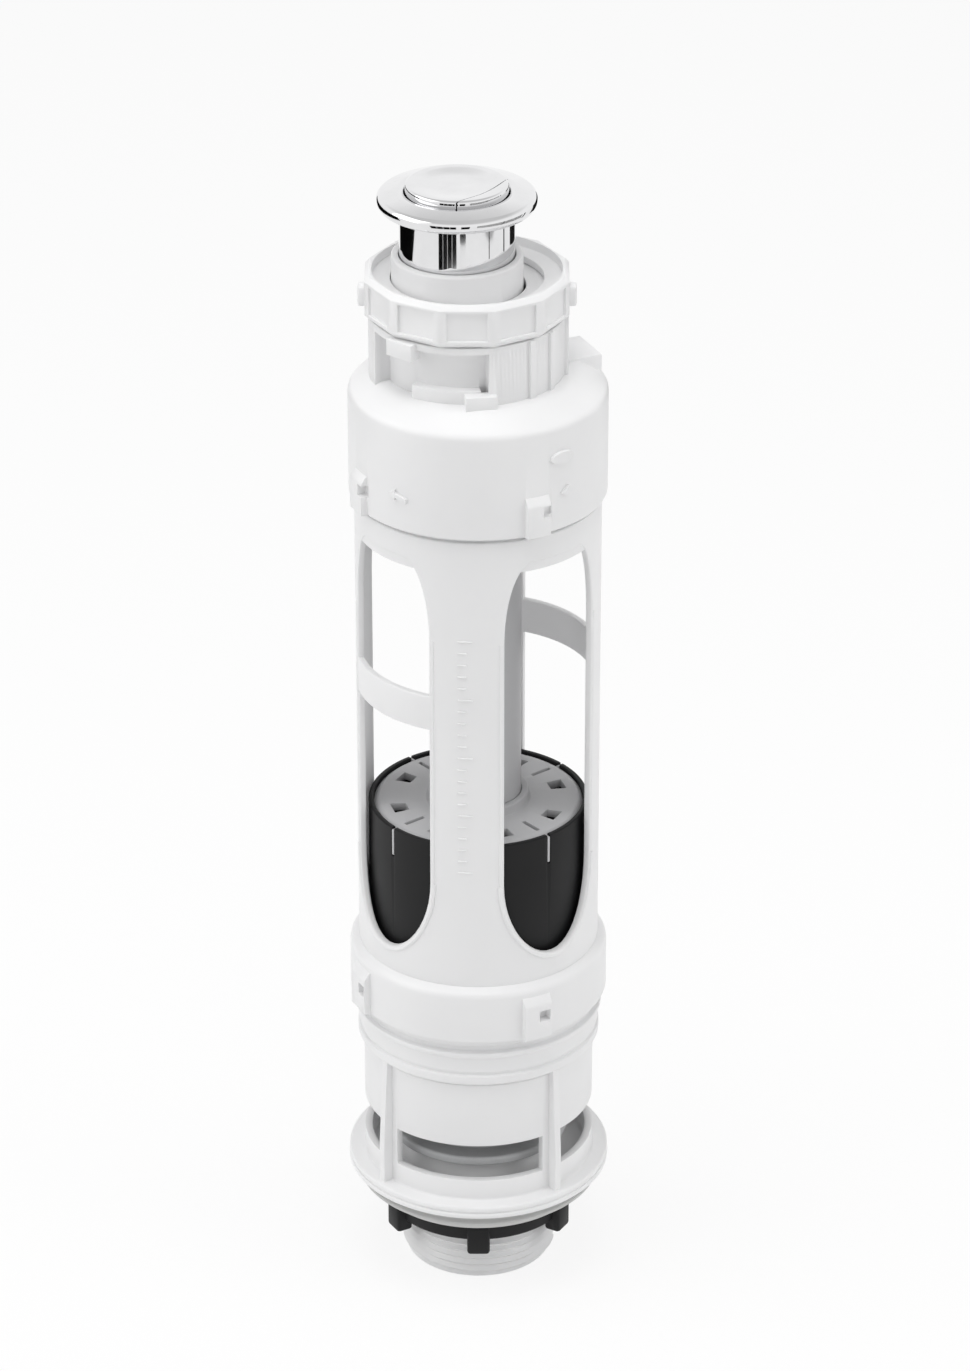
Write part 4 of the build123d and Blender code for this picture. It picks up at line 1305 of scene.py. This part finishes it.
@dataclass
class Cage:
    """Open shaft with four windows between plain columns."""

    outer_r: float = 36.2
    inner_r: float = 34.2
    low: float = 110.2
    high: float = 257.5
    foot_low: float = 93.4
    foot_top: float = 109.4
    foot_r: float = 38.9
    foot_inner_r: float = 36.8
    foot_neck: Point = (36.1, 111.5)
    foot_ceiling: float = 107.3
    window_low: float = 119.0
    window_high: float = 250.0
    window_half: float = 16.57
    foot_rise: float = 26.0
    foot_steps: int = 24
    corner_width: float = 8.0
    corner_drop: float = 25.0
    corner_steps: int = 12
    band_low: float = 196.0
    band_high: float = 207.0
    banded: tuple[float, ...] = (135.0, 315.0)
    pocket_width: float = 9.0
    pocket_drop: float = 2.0
    lip_away: float = 1.0
    lip_sink: float = 0.35
    lip_r: float = 0.95
    edge_r: float = 0.62
    spigot_r: float = 35.6
    spigot_inner_r: float = 33.6
    spigot_top: float = 274.7
    taper_low: float = 247.2
    taper_inner_high: float = 250.2
    taper_inner_r: float = 34.4
    taper_outer_r: float = 35.9
    shadow_r: float = 35.1
    shadow_rise: tuple[float, ...] = (256.9, 257.2, 258.9, 259.1)
    guide_r: float = 12.88
    guide_outer_r: float = 15.08
    guide_low: float = 251.2
    guide_high: float = 255.2
    arm_width: float = 2.6
    arm_reach: Point = (13.98, 33.55)
    arm_inset: float = 0.02
    scale_low: float = 150.0
    scale_high: float = 226.0
    scale_left: float = -2.5
    ticks: int = 20
    ticks_to_long: int = 5
    long_tick: float = 4.4
    short_tick: float = 2.6
    tick_r: float = 0.3
    tick_lift: float = 0.05

    def outline(self, grow: float = 0.0, low: float = 0.0, high: float = math.inf) -> list[Point]:
        """Gives a window's outline as width and height, from the foot's left end round.

        Args:
            grow: How far the outline lies outside the window.
            low: Height below which the window is filled.
            high: Height above which the window is filled.

        Returns:
            The closed outline.
        """
        half = self.window_half + grow
        spring = self.window_low + self.foot_rise
        drop = self.window_high - self.corner_drop
        inner = half - self.corner_width - grow
        points: list[Point] = []
        if low < spring:
            for step in range(self.foot_steps + 1):
                turn = math.pi + math.pi * step / self.foot_steps
                rise = self.foot_rise + grow
                points.append((half * math.cos(turn), spring + rise * math.sin(turn)))
        else:
            points.extend([(-half, low), (half, low)])
        if high > self.window_high:
            steps = range(self.corner_steps + 1)
            for side, order in ((1, steps), (-1, reversed(steps))):
                for step in order:
                    turn = math.pi / 2 * step / self.corner_steps
                    across = inner + (self.corner_width + grow) * math.cos(turn)
                    points.append((side * across, drop + (self.corner_drop + grow) * math.sin(turn)))
        else:
            points.extend([(half, high), (-half, high)])
        return points

    def around(self, point: Point, axis: float) -> Point:
        """Lays a point of a window's flat outline round the outer face, as arc length and height."""
        turn = math.radians(axis) + math.asin(point[0] / self.outer_r)
        return (turn * self.outer_r, point[1])

    def on_face(self, arc: float, height: float, lift: float) -> Vector:
        """Gives the place at an arc length and a height, lifted off the outer face."""
        return Vector((*at_angle(self.outer_r + lift, math.degrees(arc / self.outer_r)), height))

    def wall(self) -> None:
        """Makes the windowed wall and its two bands."""
        holes = []
        for axis in quarters(45):
            whole = [(0.0, math.inf)]
            spans = [(0.0, self.band_low), (self.band_high, math.inf)] if axis in self.banded else whole
            for low, high in spans:
                holes.append([self.around(point, axis) for point in self.outline(0.0, low, high)])
        piece = wrapped_wall("cage_wall", (self.inner_r, self.outer_r), (self.low, self.high), holes, 0.45)
        finished(piece, WHITE_PLASTIC, "cage", ["cage"])

    def lips(self) -> None:
        """Lays the raised bead along each window's foot and sides."""
        feet, sides = [], []
        half = self.window_half + self.lip_away
        spring, drop = self.window_low + self.foot_rise, self.window_high - self.corner_drop
        for axis in quarters(45):
            paths = [self.outline(self.lip_away)[: self.foot_steps + 1]]
            paths += [[(side * half, spring), (side * half, drop)] for side in (-1, 1)]
            foot, *edges = [
                [self.on_face(*self.around(point, axis), -self.lip_sink) for point in path] for path in paths
            ]
            feet.append(foot)
            sides.extend(edges)
        finished(beads_on("window_lips", WHITE_PLASTIC, feet, self.lip_r), WHITE_PLASTIC, "cage")
        finished(beads_on("column_edges", WHITE_PLASTIC, sides, self.edge_r), WHITE_PLASTIC, "cage")

    def foot(self) -> None:
        """Makes the foot ring with its four pockets."""
        corners = [
            Corner(self.foot_inner_r, self.foot_low, 0.3),
            Corner(self.foot_r, self.foot_low, 0.5),
            Corner(self.foot_r, self.foot_top, 1.3),
            Corner(*self.foot_neck, 0.8),
            Corner(self.inner_r, self.foot_neck[1], 0.3),
            Corner(self.inner_r, self.foot_ceiling, 0.3),
            Corner(self.foot_inner_r, self.foot_ceiling, 0.3),
        ]
        piece = turned("cage_foot", corners)
        rise = (self.foot_low, self.foot_top - self.pocket_drop)
        Pockets(self.foot_r, rise, self.pocket_width, sight_turn=3.0).join(piece)
        eased(piece, 0.3)
        finished(piece, WHITE_PLASTIC, "cage")

    def head(self) -> None:
        """Makes the spigot inside the cap, its shadow groove and the wall that narrows to it."""
        corners = [
            Corner(self.taper_inner_r, self.taper_low, 0.2),
            Corner(self.taper_outer_r, self.taper_low, 0.2),
            Corner(self.taper_outer_r, self.shadow_rise[0]),
            Corner(self.shadow_r, self.shadow_rise[1]),
            Corner(self.shadow_r, self.shadow_rise[2]),
            Corner(self.spigot_r, self.shadow_rise[3]),
            Corner(self.spigot_r, self.spigot_top, 0.5),
            Corner(self.spigot_inner_r, self.spigot_top, 0.5),
            Corner(self.spigot_inner_r, self.taper_inner_high, 0.5),
        ]
        finished(turned("cage_spigot", corners), WHITE_PLASTIC, "cage")

    def guide(self) -> None:
        """Makes the ring on four arms that guides the tube."""
        low, high = self.guide_low, self.guide_high
        outline = oblong((self.guide_r, self.guide_outer_r), (low, high), 0.3, 0.3)
        ring = turned("tube_guide_ring", outline)
        rise = (low + self.arm_inset, high - self.arm_inset)
        arms = [block("arm", self.arm_width, self.arm_reach, rise, angle) for angle in quarters(0)]
        worked(ring, arms, Joining.ADD)
        eased(ring, 0.25)
        finished(ring, WHITE_PLASTIC, "cage", ["tube_guide"])

    def scale(self) -> None:
        """Marks the front column with a plain raised scale."""
        ticks = []
        for index in range(self.ticks + 1):
            height = self.scale_low + (self.scale_high - self.scale_low) * index / self.ticks
            length = self.short_tick if index % self.ticks_to_long else self.long_tick
            ends = (self.scale_left, self.scale_left + length)
            ticks.append([self.on_face(arc, height, self.tick_lift) for arc in ends])
        finished(beads_on("scale_ticks", WHITE_PLASTIC, ticks, self.tick_r), WHITE_PLASTIC, "cage")

    def build(self) -> None:
        """Builds the cage."""
        self.wall()
        self.lips()
        self.foot()
        self.head()
        self.guide()
        self.scale()


@dataclass
class Cap:
    """Round cover with the tower that carries the head."""

    low: float = 259.0
    outer_r: float = 37.8
    inner_r: float = 35.9
    shoulder: float = 291.2
    inner_shoulder: float = 289.3
    dome: float = 296.7
    ceiling: float = 294.8
    flat_r: float = 30.0
    ceiling_r: float = 28.0
    shelf_near: float = 25.5
    shelf_knee: float = 28.5
    shelf_far: float = 36.0
    shelf_rise: tuple[float, ...] = (290.2, 295.2, 297.3)
    shelf_width: float = 15.0
    shelf_angle: float = 120.0
    tower_x: float = -3.15
    tower_r: float = 28.5
    tower_inner_r: float = 26.7
    core_r: float = 23.95
    bore_r: float = 22.15
    foot: float = 293.8
    deck: float = 314.5
    deck_low: float = 312.5
    spigot_r: float = 26.0
    spigot_top: float = 320.7
    gap_from: float = -62.0
    gap_to: float = 18.5
    web: float = 1.8
    web_bite: float = 0.9
    step_reach: Point = (23.45, 27.0)
    step_high: float = 300.7
    step_middle: float = -8.0
    step_span: float = 44.0
    block_width: float = 9.0
    block_reach: Point = (26.6, 30.5)
    corner_high: float = 300.2
    corner_angle: float = 13.5
    tongue_rise: Point = (309.5, 314.4)
    tongue_angle: float = -34.0
    ribs: tuple[float, ...] = (45.5, 62.0, 86.0, 112.0, 140.0, 168.0, 196.0, 224.0, 252.0)
    rib_width: float = 1.8
    rib_half_depth: float = 0.9
    pocket_width: float = 7.4
    pocket_height: float = 12.2
    mark_reach: Point = (-0.3, 0.9)
    mark_slope: float = 0.3
    oval_middle: Point = (29.2, 281.8)
    oval_half: Point = (4.2, 2.0)
    oval_steps: int = 32
    arrow_head: tuple[Point, ...] = ((28.6, 270.4), (31.6, 272.6), (31.2, 269.0))
    arrow: tuple[Point, ...] = (
        (-24.0, 270.2),
        (-21.6, 271.9),
        (-21.6, 270.9),
        (-17.4, 269.6),
        (-17.4, 268.2),
        (-21.6, 269.3),
        (-21.6, 268.2),
    )

    def shell(self) -> None:
        """Makes the cover with its pockets and shelf."""
        corners = [
            Corner(self.inner_r, self.low, 0.3),
            Corner(self.outer_r, self.low, 0.7),
            Corner(self.outer_r, self.shoulder, 1.5),
            Corner(self.flat_r, self.dome, 2.0),
            Corner(self.bore_r, self.dome),
            Corner(self.bore_r, self.ceiling),
            Corner(self.ceiling_r, self.ceiling, 1.0),
            Corner(self.inner_r, self.inner_shoulder, 1.0),
        ]
        piece = turned("cap_cover", corners)
        edge, under, over = self.shelf_rise
        shelf = [
            Corner(self.shelf_near, under),
            Corner(self.shelf_knee, under),
            Corner(self.shelf_far, edge),
            Corner(self.shelf_far, over),
            Corner(self.shelf_near, over),
        ]
        worked(piece, [rib("shelf", shelf, self.shelf_width, self.shelf_angle)], Joining.ADD)
        rise = (self.low, self.low + self.pocket_height)
        Pockets(self.outer_r, rise, self.pocket_width, sight_turn=4.5).join(piece)
        bore = plug("bore", self.bore_r, (self.ceiling - 3, self.dome + 3), (self.tower_x, 0.0))
        worked(piece, [bore], Joining.CUT)
        eased(piece, 0.4)
        finished(piece, WHITE_PLASTIC, "cap", ["cap"])

    def tower(self) -> None:
        """Makes the double-walled tower, open at the front left."""
        centre = (self.tower_x, 0.0)
        foot, deck = self.foot, self.deck
        outline = [
            Corner(self.bore_r, foot),
            Corner(self.core_r, foot),
            Corner(self.core_r, self.deck_low),
            Corner(self.tower_r, self.deck_low),
            Corner(self.tower_r, deck, 0.4),
            Corner(self.spigot_r, deck),
            Corner(self.spigot_r, self.spigot_top, 0.5),
            Corner(self.bore_r, self.spigot_top, 0.4),
        ]
        core = turned("cap_tower", outline, centre)
        web_turn = math.degrees(self.web / 2 / self.core_r)
        span = 360 - (self.gap_to - self.gap_from)
        middle = (self.gap_from + self.gap_to) / 2 + 180
        reach = (self.core_r - self.web_bite, self.tower_inner_r + self.web_bite)
        width, far = self.block_width, self.block_reach
        added = [
            ring_block("wall", (self.tower_inner_r, self.tower_r), (foot, deck - 0.3), middle, span, centre),
            block("web", self.web, reach, (foot, deck - 0.4), self.gap_from - web_turn, centre),
            block("web", self.web, reach, (foot, deck - 0.4), self.gap_to + web_turn, centre),
            ring_block(
                "step", self.step_reach, (foot, self.step_high), self.step_middle, self.step_span, centre
            ),
            block("corner", width, far, (foot, self.corner_high), self.corner_angle, centre),
            block("tongue", width, far, self.tongue_rise, self.tongue_angle, centre),
        ]
        worked(core, added, Joining.ADD)
        reach = (self.tower_r - self.rib_half_depth, self.tower_r + self.rib_half_depth)
        rise = (foot, deck - 0.15)
        ribs = [block("rib", self.rib_width, reach, rise, angle, centre) for angle in self.ribs]
        worked(core, ribs, Joining.ADD)
        eased(core, 0.35)
        finished(core, WHITE_PLASTIC, "cap")

    def marks(self) -> None:
        """Raises the small moulded marks: an oval, an arrow head and a longer arrow."""
        (x, z), (half_x, half_z) = self.oval_middle, self.oval_half
        turns = [FULL_TURN * step / self.oval_steps for step in range(self.oval_steps)]
        oval = [(x + half_x * math.cos(turn), z + half_z * math.sin(turn)) for turn in turns]
        reach = (self.outer_r + self.mark_reach[0], self.outer_r + self.mark_reach[1])
        outlines = {"cap_oval": oval, "cap_arrow_head": self.arrow_head, "cap_arrow": self.arrow}
        for name, outline in outlines.items():
            finished(raised_pad(name, outline, reach, self.mark_slope), WHITE_PLASTIC, "cap")

    def build(self) -> None:
        """Builds the cap."""
        self.shell()
        self.tower()
        self.marks()


@dataclass
class ClampNut:
    """Twelve-sided ring nut with recessed panels and two small wings."""

    sides: int = 12
    corner_r: float = 30.3
    low: float = 314.8
    high: float = 327.7
    web_low: float = 323.0
    web_high: float = 325.0
    thread_r: float = 26.08
    inner_r: float = 27.4
    bore_r: float = 22.15
    chamfer: float = 1.4
    panel_share: float = 0.74
    panel_depth: float = 0.8
    panel_edge: float = 2.2
    wings: tuple[float, ...] = (-90.0, 90.0)
    wing_width: float = 4.6
    wing_far: float = 31.4
    wing_rise: Point = (316.4, 322.6)
    turn: float = 5.5
    tower_x: float = -3.15

    def build(self) -> None:
        """Builds the nut."""
        narrow = self.corner_r - self.chamfer
        corners = [
            Corner(0, self.low),
            Corner(narrow, self.low),
            Corner(self.corner_r, self.low + self.chamfer),
            Corner(self.corner_r, self.high - self.chamfer),
            Corner(narrow, self.high),
            Corner(0, self.high),
        ]
        piece = turned("clamping_nut", corners, steps=self.sides)
        piece.data.transform(Matrix.Rotation(math.pi / self.sides, 4, "Z"))
        apothem = self.corner_r * math.cos(math.pi / self.sides)
        side = 2 * self.corner_r * math.sin(math.pi / self.sides)
        reach = (apothem - self.panel_depth, self.corner_r + 1)
        rise = (self.low + self.panel_edge, self.high - self.panel_edge)
        panel = block("panels", side * self.panel_share, reach, rise, 0.0)
        copies_round(panel, WHITE_PLASTIC, self.sides)
        worked(piece, [panel], Joining.CUT)
        reach = (self.inner_r, self.wing_far)
        width, rise = self.wing_width, self.wing_rise
        wings = [block("wing", width, reach, rise, angle, ease=0.7) for angle in self.wings]
        worked(piece, wings, Joining.ADD)
        bores = [
            plug("thread_bore", self.thread_r, (self.low - 1, self.web_low)),
            plug("head_bore", self.inner_r, (self.web_high, self.high + 3)),
            plug("web_bore", self.bore_r, (self.web_low - 1, self.web_high + 1)),
        ]
        worked(piece, bores, Joining.CUT)
        eased(piece, 0.4)
        spin = Matrix.Rotation(math.radians(self.turn), 4, "Z")
        piece.data.transform(Matrix.Translation((self.tower_x, 0, 0)) @ spin)
        finished(piece, WHITE_PLASTIC, "clamp_nut", ["clamp_nut"])


@dataclass
class Head:
    """Neck, chrome sleeve with its rosette, and the two-part button."""

    head_x: float = -6.0
    tower_x: float = -3.15
    neck_r: float = 19.0
    neck_bore_r: float = 16.9
    neck_low: float = 303.7
    neck_top: float = 332.2
    ledge_r: float = 14.3
    ledge_low: float = 313.4
    flange_reach: Point = (17.0, 24.5)
    flange_low: float = 320.7
    flange_top: float = 322.7
    sleeve_r: float = 16.7
    sleeve_inner_r: float = 15.2
    sleeve_low: float = 315.4
    rosette_low: float = 346.7
    rosette_foot_r: float = 22.3
    rosette_rim: tuple[Point, ...] = ((23.1, 348.2), (23.0, 349.6), (22.2, 350.5))
    rosette_lip: tuple[Point, ...] = ((16.7, 351.7), (15.2, 351.1))
    button_r: float = 14.9
    button_low: float = 347.7
    button_high: float = 353.7
    button_rim: float = 353.6
    button_rim_r: float = 12.7
    dish: float = 0.9
    split_degrees: float = 56.47
    split_reach: float = 10.5
    split_bow_r: float = 56.0
    split_gap: float = 0.34
    split_steps: int = 360
    chrome_smooth: float = 50.0

    def neck(self) -> None:
        """Makes the offset barrel on its flange."""
        centre = (self.head_x, 0.0)
        outline = [
            Corner(self.neck_bore_r, self.neck_low, 0.3),
            Corner(self.neck_r, self.neck_low, 0.4),
            Corner(self.neck_r, self.neck_top, 0.9),
            Corner(self.neck_bore_r, self.neck_top, 0.4),
            Corner(self.neck_bore_r, self.sleeve_low),
            Corner(self.ledge_r, self.sleeve_low, 0.2),
            Corner(self.ledge_r, self.ledge_low, 0.2),
            Corner(self.neck_bore_r, self.ledge_low),
        ]
        barrel = turned("neck_barrel", outline, centre)
        plate = oblong(self.flange_reach, (self.flange_low, self.flange_top), outer=0.4)
        flange = turned("flange", plate, (self.tower_x, 0.0))
        inside = plug("inside", self.neck_r - 0.6, (self.flange_low - 1, self.flange_top + 1), centre)
        worked(flange, [inside], Joining.CUT)
        worked(barrel, [flange], Joining.ADD)
        eased(barrel, 0.3)
        finished(barrel, WHITE_PLASTIC, "cap", ["neck"])

    def sleeve(self) -> None:
        """Makes the bright sleeve and rosette."""
        under, side, over = self.rosette_rim
        crest, lip = self.rosette_lip
        corners = [
            Corner(self.sleeve_inner_r, self.sleeve_low, 0.3),
            Corner(self.sleeve_r, self.sleeve_low, 0.3),
            Corner(self.sleeve_r, self.rosette_low, 0.5),
            Corner(self.rosette_foot_r, self.rosette_low, 0.3),
            Corner(*under, 0.9),
            Corner(*side, 0.7),
            Corner(*over, 0.7),
            Corner(*crest, 1.0),
            Corner(*lip, 0.5),
        ]
        piece = turned("chrome_sleeve_and_rosette", corners, (self.head_x, 0.0))
        finished(piece, CHROME, "cap", ["chrome_sleeve"], self.chrome_smooth)

    def button(self, button: str, shift: float, how: Joining) -> None:
        """Makes one of the two buttons from the whole round one with its dished top.

        Args:
            button: The button's node, which is also its body.
            shift: How much larger the disc is whose edge parts the two.
            how: Whether the button keeps what lies in that disc or loses it.
        """
        dish = self.button_high - self.dish
        corners = [
            Corner(0, self.button_low),
            Corner(self.button_r, self.button_low, 0.2),
            Corner(self.button_r, self.button_rim, 0.9),
            Corner(self.button_rim_r, self.button_rim, 1.2),
            Corner(self.button_r / 2, dish, 3.0),
            Corner(0, dish),
        ]
        piece = turned(f"{button}_cap", corners, (self.head_x, 0.0))
        middle = at_angle(self.split_reach - self.split_bow_r, self.split_degrees, (self.head_x, 0.0))
        rise = (self.button_low - 2, self.button_high + 2)
        splitter = plug("splitter", self.split_bow_r + shift, rise, middle, self.split_steps)
        worked(piece, [splitter], how)
        eased(piece, 0.22, 3, 40.0)
        finished(piece, CHROME, button, [button], self.chrome_smooth)

    def build(self) -> None:
        """Builds the head."""
        self.neck()
        self.sleeve()
        self.button("full_button", -self.split_gap / 2, Joining.KEEP)
        self.button("half_button", self.split_gap / 2, Joining.CUT)


@dataclass
class Valve:
    """Overflow tube with its disc, seal and retainer."""

    tube_r: float = 12.8
    inner_r: float = 11.3
    low: float = 40.8
    high: float = 262.7
    seal_inner_r: float = 12.85
    seal_r: float = 27.5
    seal_low: float = 43.2
    seal_high: float = 46.2
    disc_r: float = 22.0
    disc_edge: float = 47.8
    cone: tuple[Point, ...] = ((15.3, 49.6), (12.8, 52.4))

    def build(self) -> None:
        """Builds the valve."""
        cone_foot, cone_top = self.cone
        corners = [
            Corner(self.inner_r, self.low, 0.3),
            Corner(self.tube_r, self.low, 0.3),
            Corner(self.tube_r, self.seal_high),
            Corner(self.disc_r, self.seal_high, 0.3),
            Corner(self.disc_r, self.disc_edge, 0.5),
            Corner(*cone_foot, 1.5),
            Corner(*cone_top, 1.5),
            Corner(self.tube_r, self.high, 0.4),
            Corner(self.inner_r, self.high, 0.4),
        ]
        finished(turned("overflow_pipe", corners), GREY_PLASTIC, "valve", ["overflow_tube"])
        outline = oblong((self.seal_inner_r, self.seal_r), (self.seal_low, self.seal_high), 0.3, 0.9)
        finished(turned("flush_seal", outline), SEAL_RUBBER, "valve", ["seat_seal"])
        dress_node("seal_retainer", GREY_PLASTIC)


@dataclass
class Float:
    """Black float with its grey cover."""

    outer_r: float = 32.9
    inner_r: float = 31.4
    bore_r: float = 13.0
    tube_wall_r: float = 14.5
    low: float = 100.0
    floor: float = 102.0
    high: float = 157.0
    tube_high: float = 152.0
    slit_width: float = 1.0
    slit_depth: float = 9.5
    cover_r: float = 31.35
    cover_skirt_r: float = 29.85
    cover_top_r: float = 30.15
    cover_rise: tuple[float, ...] = (151.2, 154.2, 155.7, 156.7)
    collar_foot_r: float = 15.6
    collar_r: float = 15.1
    collar_top: float = 159.7
    holes: int = 8
    first_hole: float = 22.5
    hole_near: Point = (2.1, 22.2)
    hole_far: Point = (2.9, 26.8)
    slots: int = 4
    slot_width: float = 1.3
    slot_reach: Point = (21.0, 28.0)
    clip_width: float = 0.8
    clip_reach: Point = (30.8, 32.92)
    clip_rise: Point = (148.0, 156.4)

    def bucket(self) -> None:
        """Makes the black bucket with its clip slits."""
        corners = [
            Corner(self.bore_r, self.low, 0.3),
            Corner(self.outer_r, self.low, 1.8),
            Corner(self.outer_r, self.high, 0.5),
            Corner(self.inner_r, self.high, 0.4),
            Corner(self.inner_r, self.floor, 1.0),
            Corner(self.tube_wall_r, self.floor, 0.5),
            Corner(self.tube_wall_r, self.tube_high, 0.3),
            Corner(self.bore_r, self.tube_high, 0.3),
        ]
        piece = turned("float_bucket", corners)
        reach = (self.inner_r - 0.8, self.outer_r + 1)
        rise = (self.high - self.slit_depth, self.high + 1)
        slits = [block("slit", self.slit_width, reach, rise, angle) for angle in quarters(45)]
        worked(piece, slits, Joining.CUT)
        eased(piece, 0.18)
        finished(piece, BLACK_PLASTIC, "float", ["float_body"])

    def cover(self) -> None:
        """Makes the grey cover with its openings, slots and collar."""
        skirt, under, edge, top = self.cover_rise
        corners = [
            Corner(self.bore_r, under, 0.2),
            Corner(self.cover_skirt_r, under, 0.2),
            Corner(self.cover_skirt_r, skirt, 0.2),
            Corner(self.cover_r, skirt, 0.2),
            Corner(self.cover_r, edge, 0.3),
            Corner(self.cover_top_r, top, 0.8),
            Corner(self.collar_foot_r, top, 0.5),
            Corner(self.collar_r, self.collar_top, 0.4),
            Corner(self.bore_r, self.collar_top, 0.3),
        ]
        piece = turned("float_cover", corners)
        (near_half, near), (far_half, far) = self.hole_near, self.hole_far
        outline = [(-near_half, -near), (near_half, -near), (far_half, -far), (-far_half, -far)]
        rise = (under - 1, top + 1)
        openings = prism("openings", outline, rise)
        copies_round(openings, GREY_PLASTIC, self.holes, self.first_hole)
        slots = block("slots", self.slot_width, self.slot_reach, rise, 0.0)
        copies_round(slots, GREY_PLASTIC, self.slots, 45.0)
        worked(piece, [openings, slots], Joining.CUT)
        eased(piece, 0.3)
        finished(piece, GREY_PLASTIC, "float", ["float_cap"])

    def clips(self) -> None:
        """Makes the cover's four tongues that show in the bucket's slits."""
        tongue = block("cover_clips", self.clip_width, self.clip_reach, self.clip_rise, 0.0, ease=0.15)
        copies_round(tongue, GREY_PLASTIC, self.slots, 45.0)
        finished(tongue, GREY_PLASTIC, "float")

    def build(self) -> None:
        """Builds the float."""
        self.bucket()
        self.cover()
        self.clips()


@dataclass
class ReturnSpring:
    """Coil spring round a button's rod.

    Args:
        button: The first word of the button's joint and pieces.
        travel: How far the button goes; not used.
    """

    button: str
    travel: float
    wire_r: float = 0.3
    wire_sides: int = 8
    turns: float = 6.0
    smooth_degrees: float = 60.0

    def build(self) -> None:
        """Winds the spring where the frame has its plain one."""
        node = f"{self.button}_spring"
        low, high = (Vector(corner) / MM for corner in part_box(node))
        middle = (low + high) / 2
        coil_r = (high.x - low.x) / 2 - self.wire_r
        rise = (low.z + self.wire_r, high.z - self.wire_r)
        name = f"{self.button}_return_spring"
        centre = (middle.x, middle.y)
        piece = wound(name, SPRING_STEEL, coil_r, self.wire_r, self.turns, rise, centre, self.wire_sides)
        finished(piece, SPRING_STEEL, "cap", [node], self.smooth_degrees)
        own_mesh(piece)


@dataclass
class LeverWork:
    """The inner pieces that stay as the frame gives them, and the two springs."""

    white: tuple[str, ...] = (
        "full_push_rod",
        "half_push_rod",
        "full_rocker",
        "half_rocker",
        "rocker_frame",
        "lift_crown",
        "button_guide",
    )
    steel: tuple[str, ...] = ("full_rocker_pin", "half_rocker_pin")
    springs: tuple[ReturnSpring, ...] = (ReturnSpring("full", 7.0), ReturnSpring("half", 4.0))

    def build(self) -> None:
        """Dresses the lever work and winds its springs."""
        for node in self.white:
            dress_node(node, WHITE_PLASTIC)
        for node in self.steel:
            dress_node(node, SPRING_STEEL)
        for spring in self.springs:
            spring.build()


def main() -> None:
    """Builds the valve's looks and the studio round it."""
    logging.basicConfig(level=logging.INFO, format="%(message)s")
    for assembly in (Base(), BackNut(), Cage(), Cap(), ClampNut(), Head(), Valve(), Float(), LeverWork()):
        assembly.build()
    Studio().build()


if __name__ == "__main__":
    main()
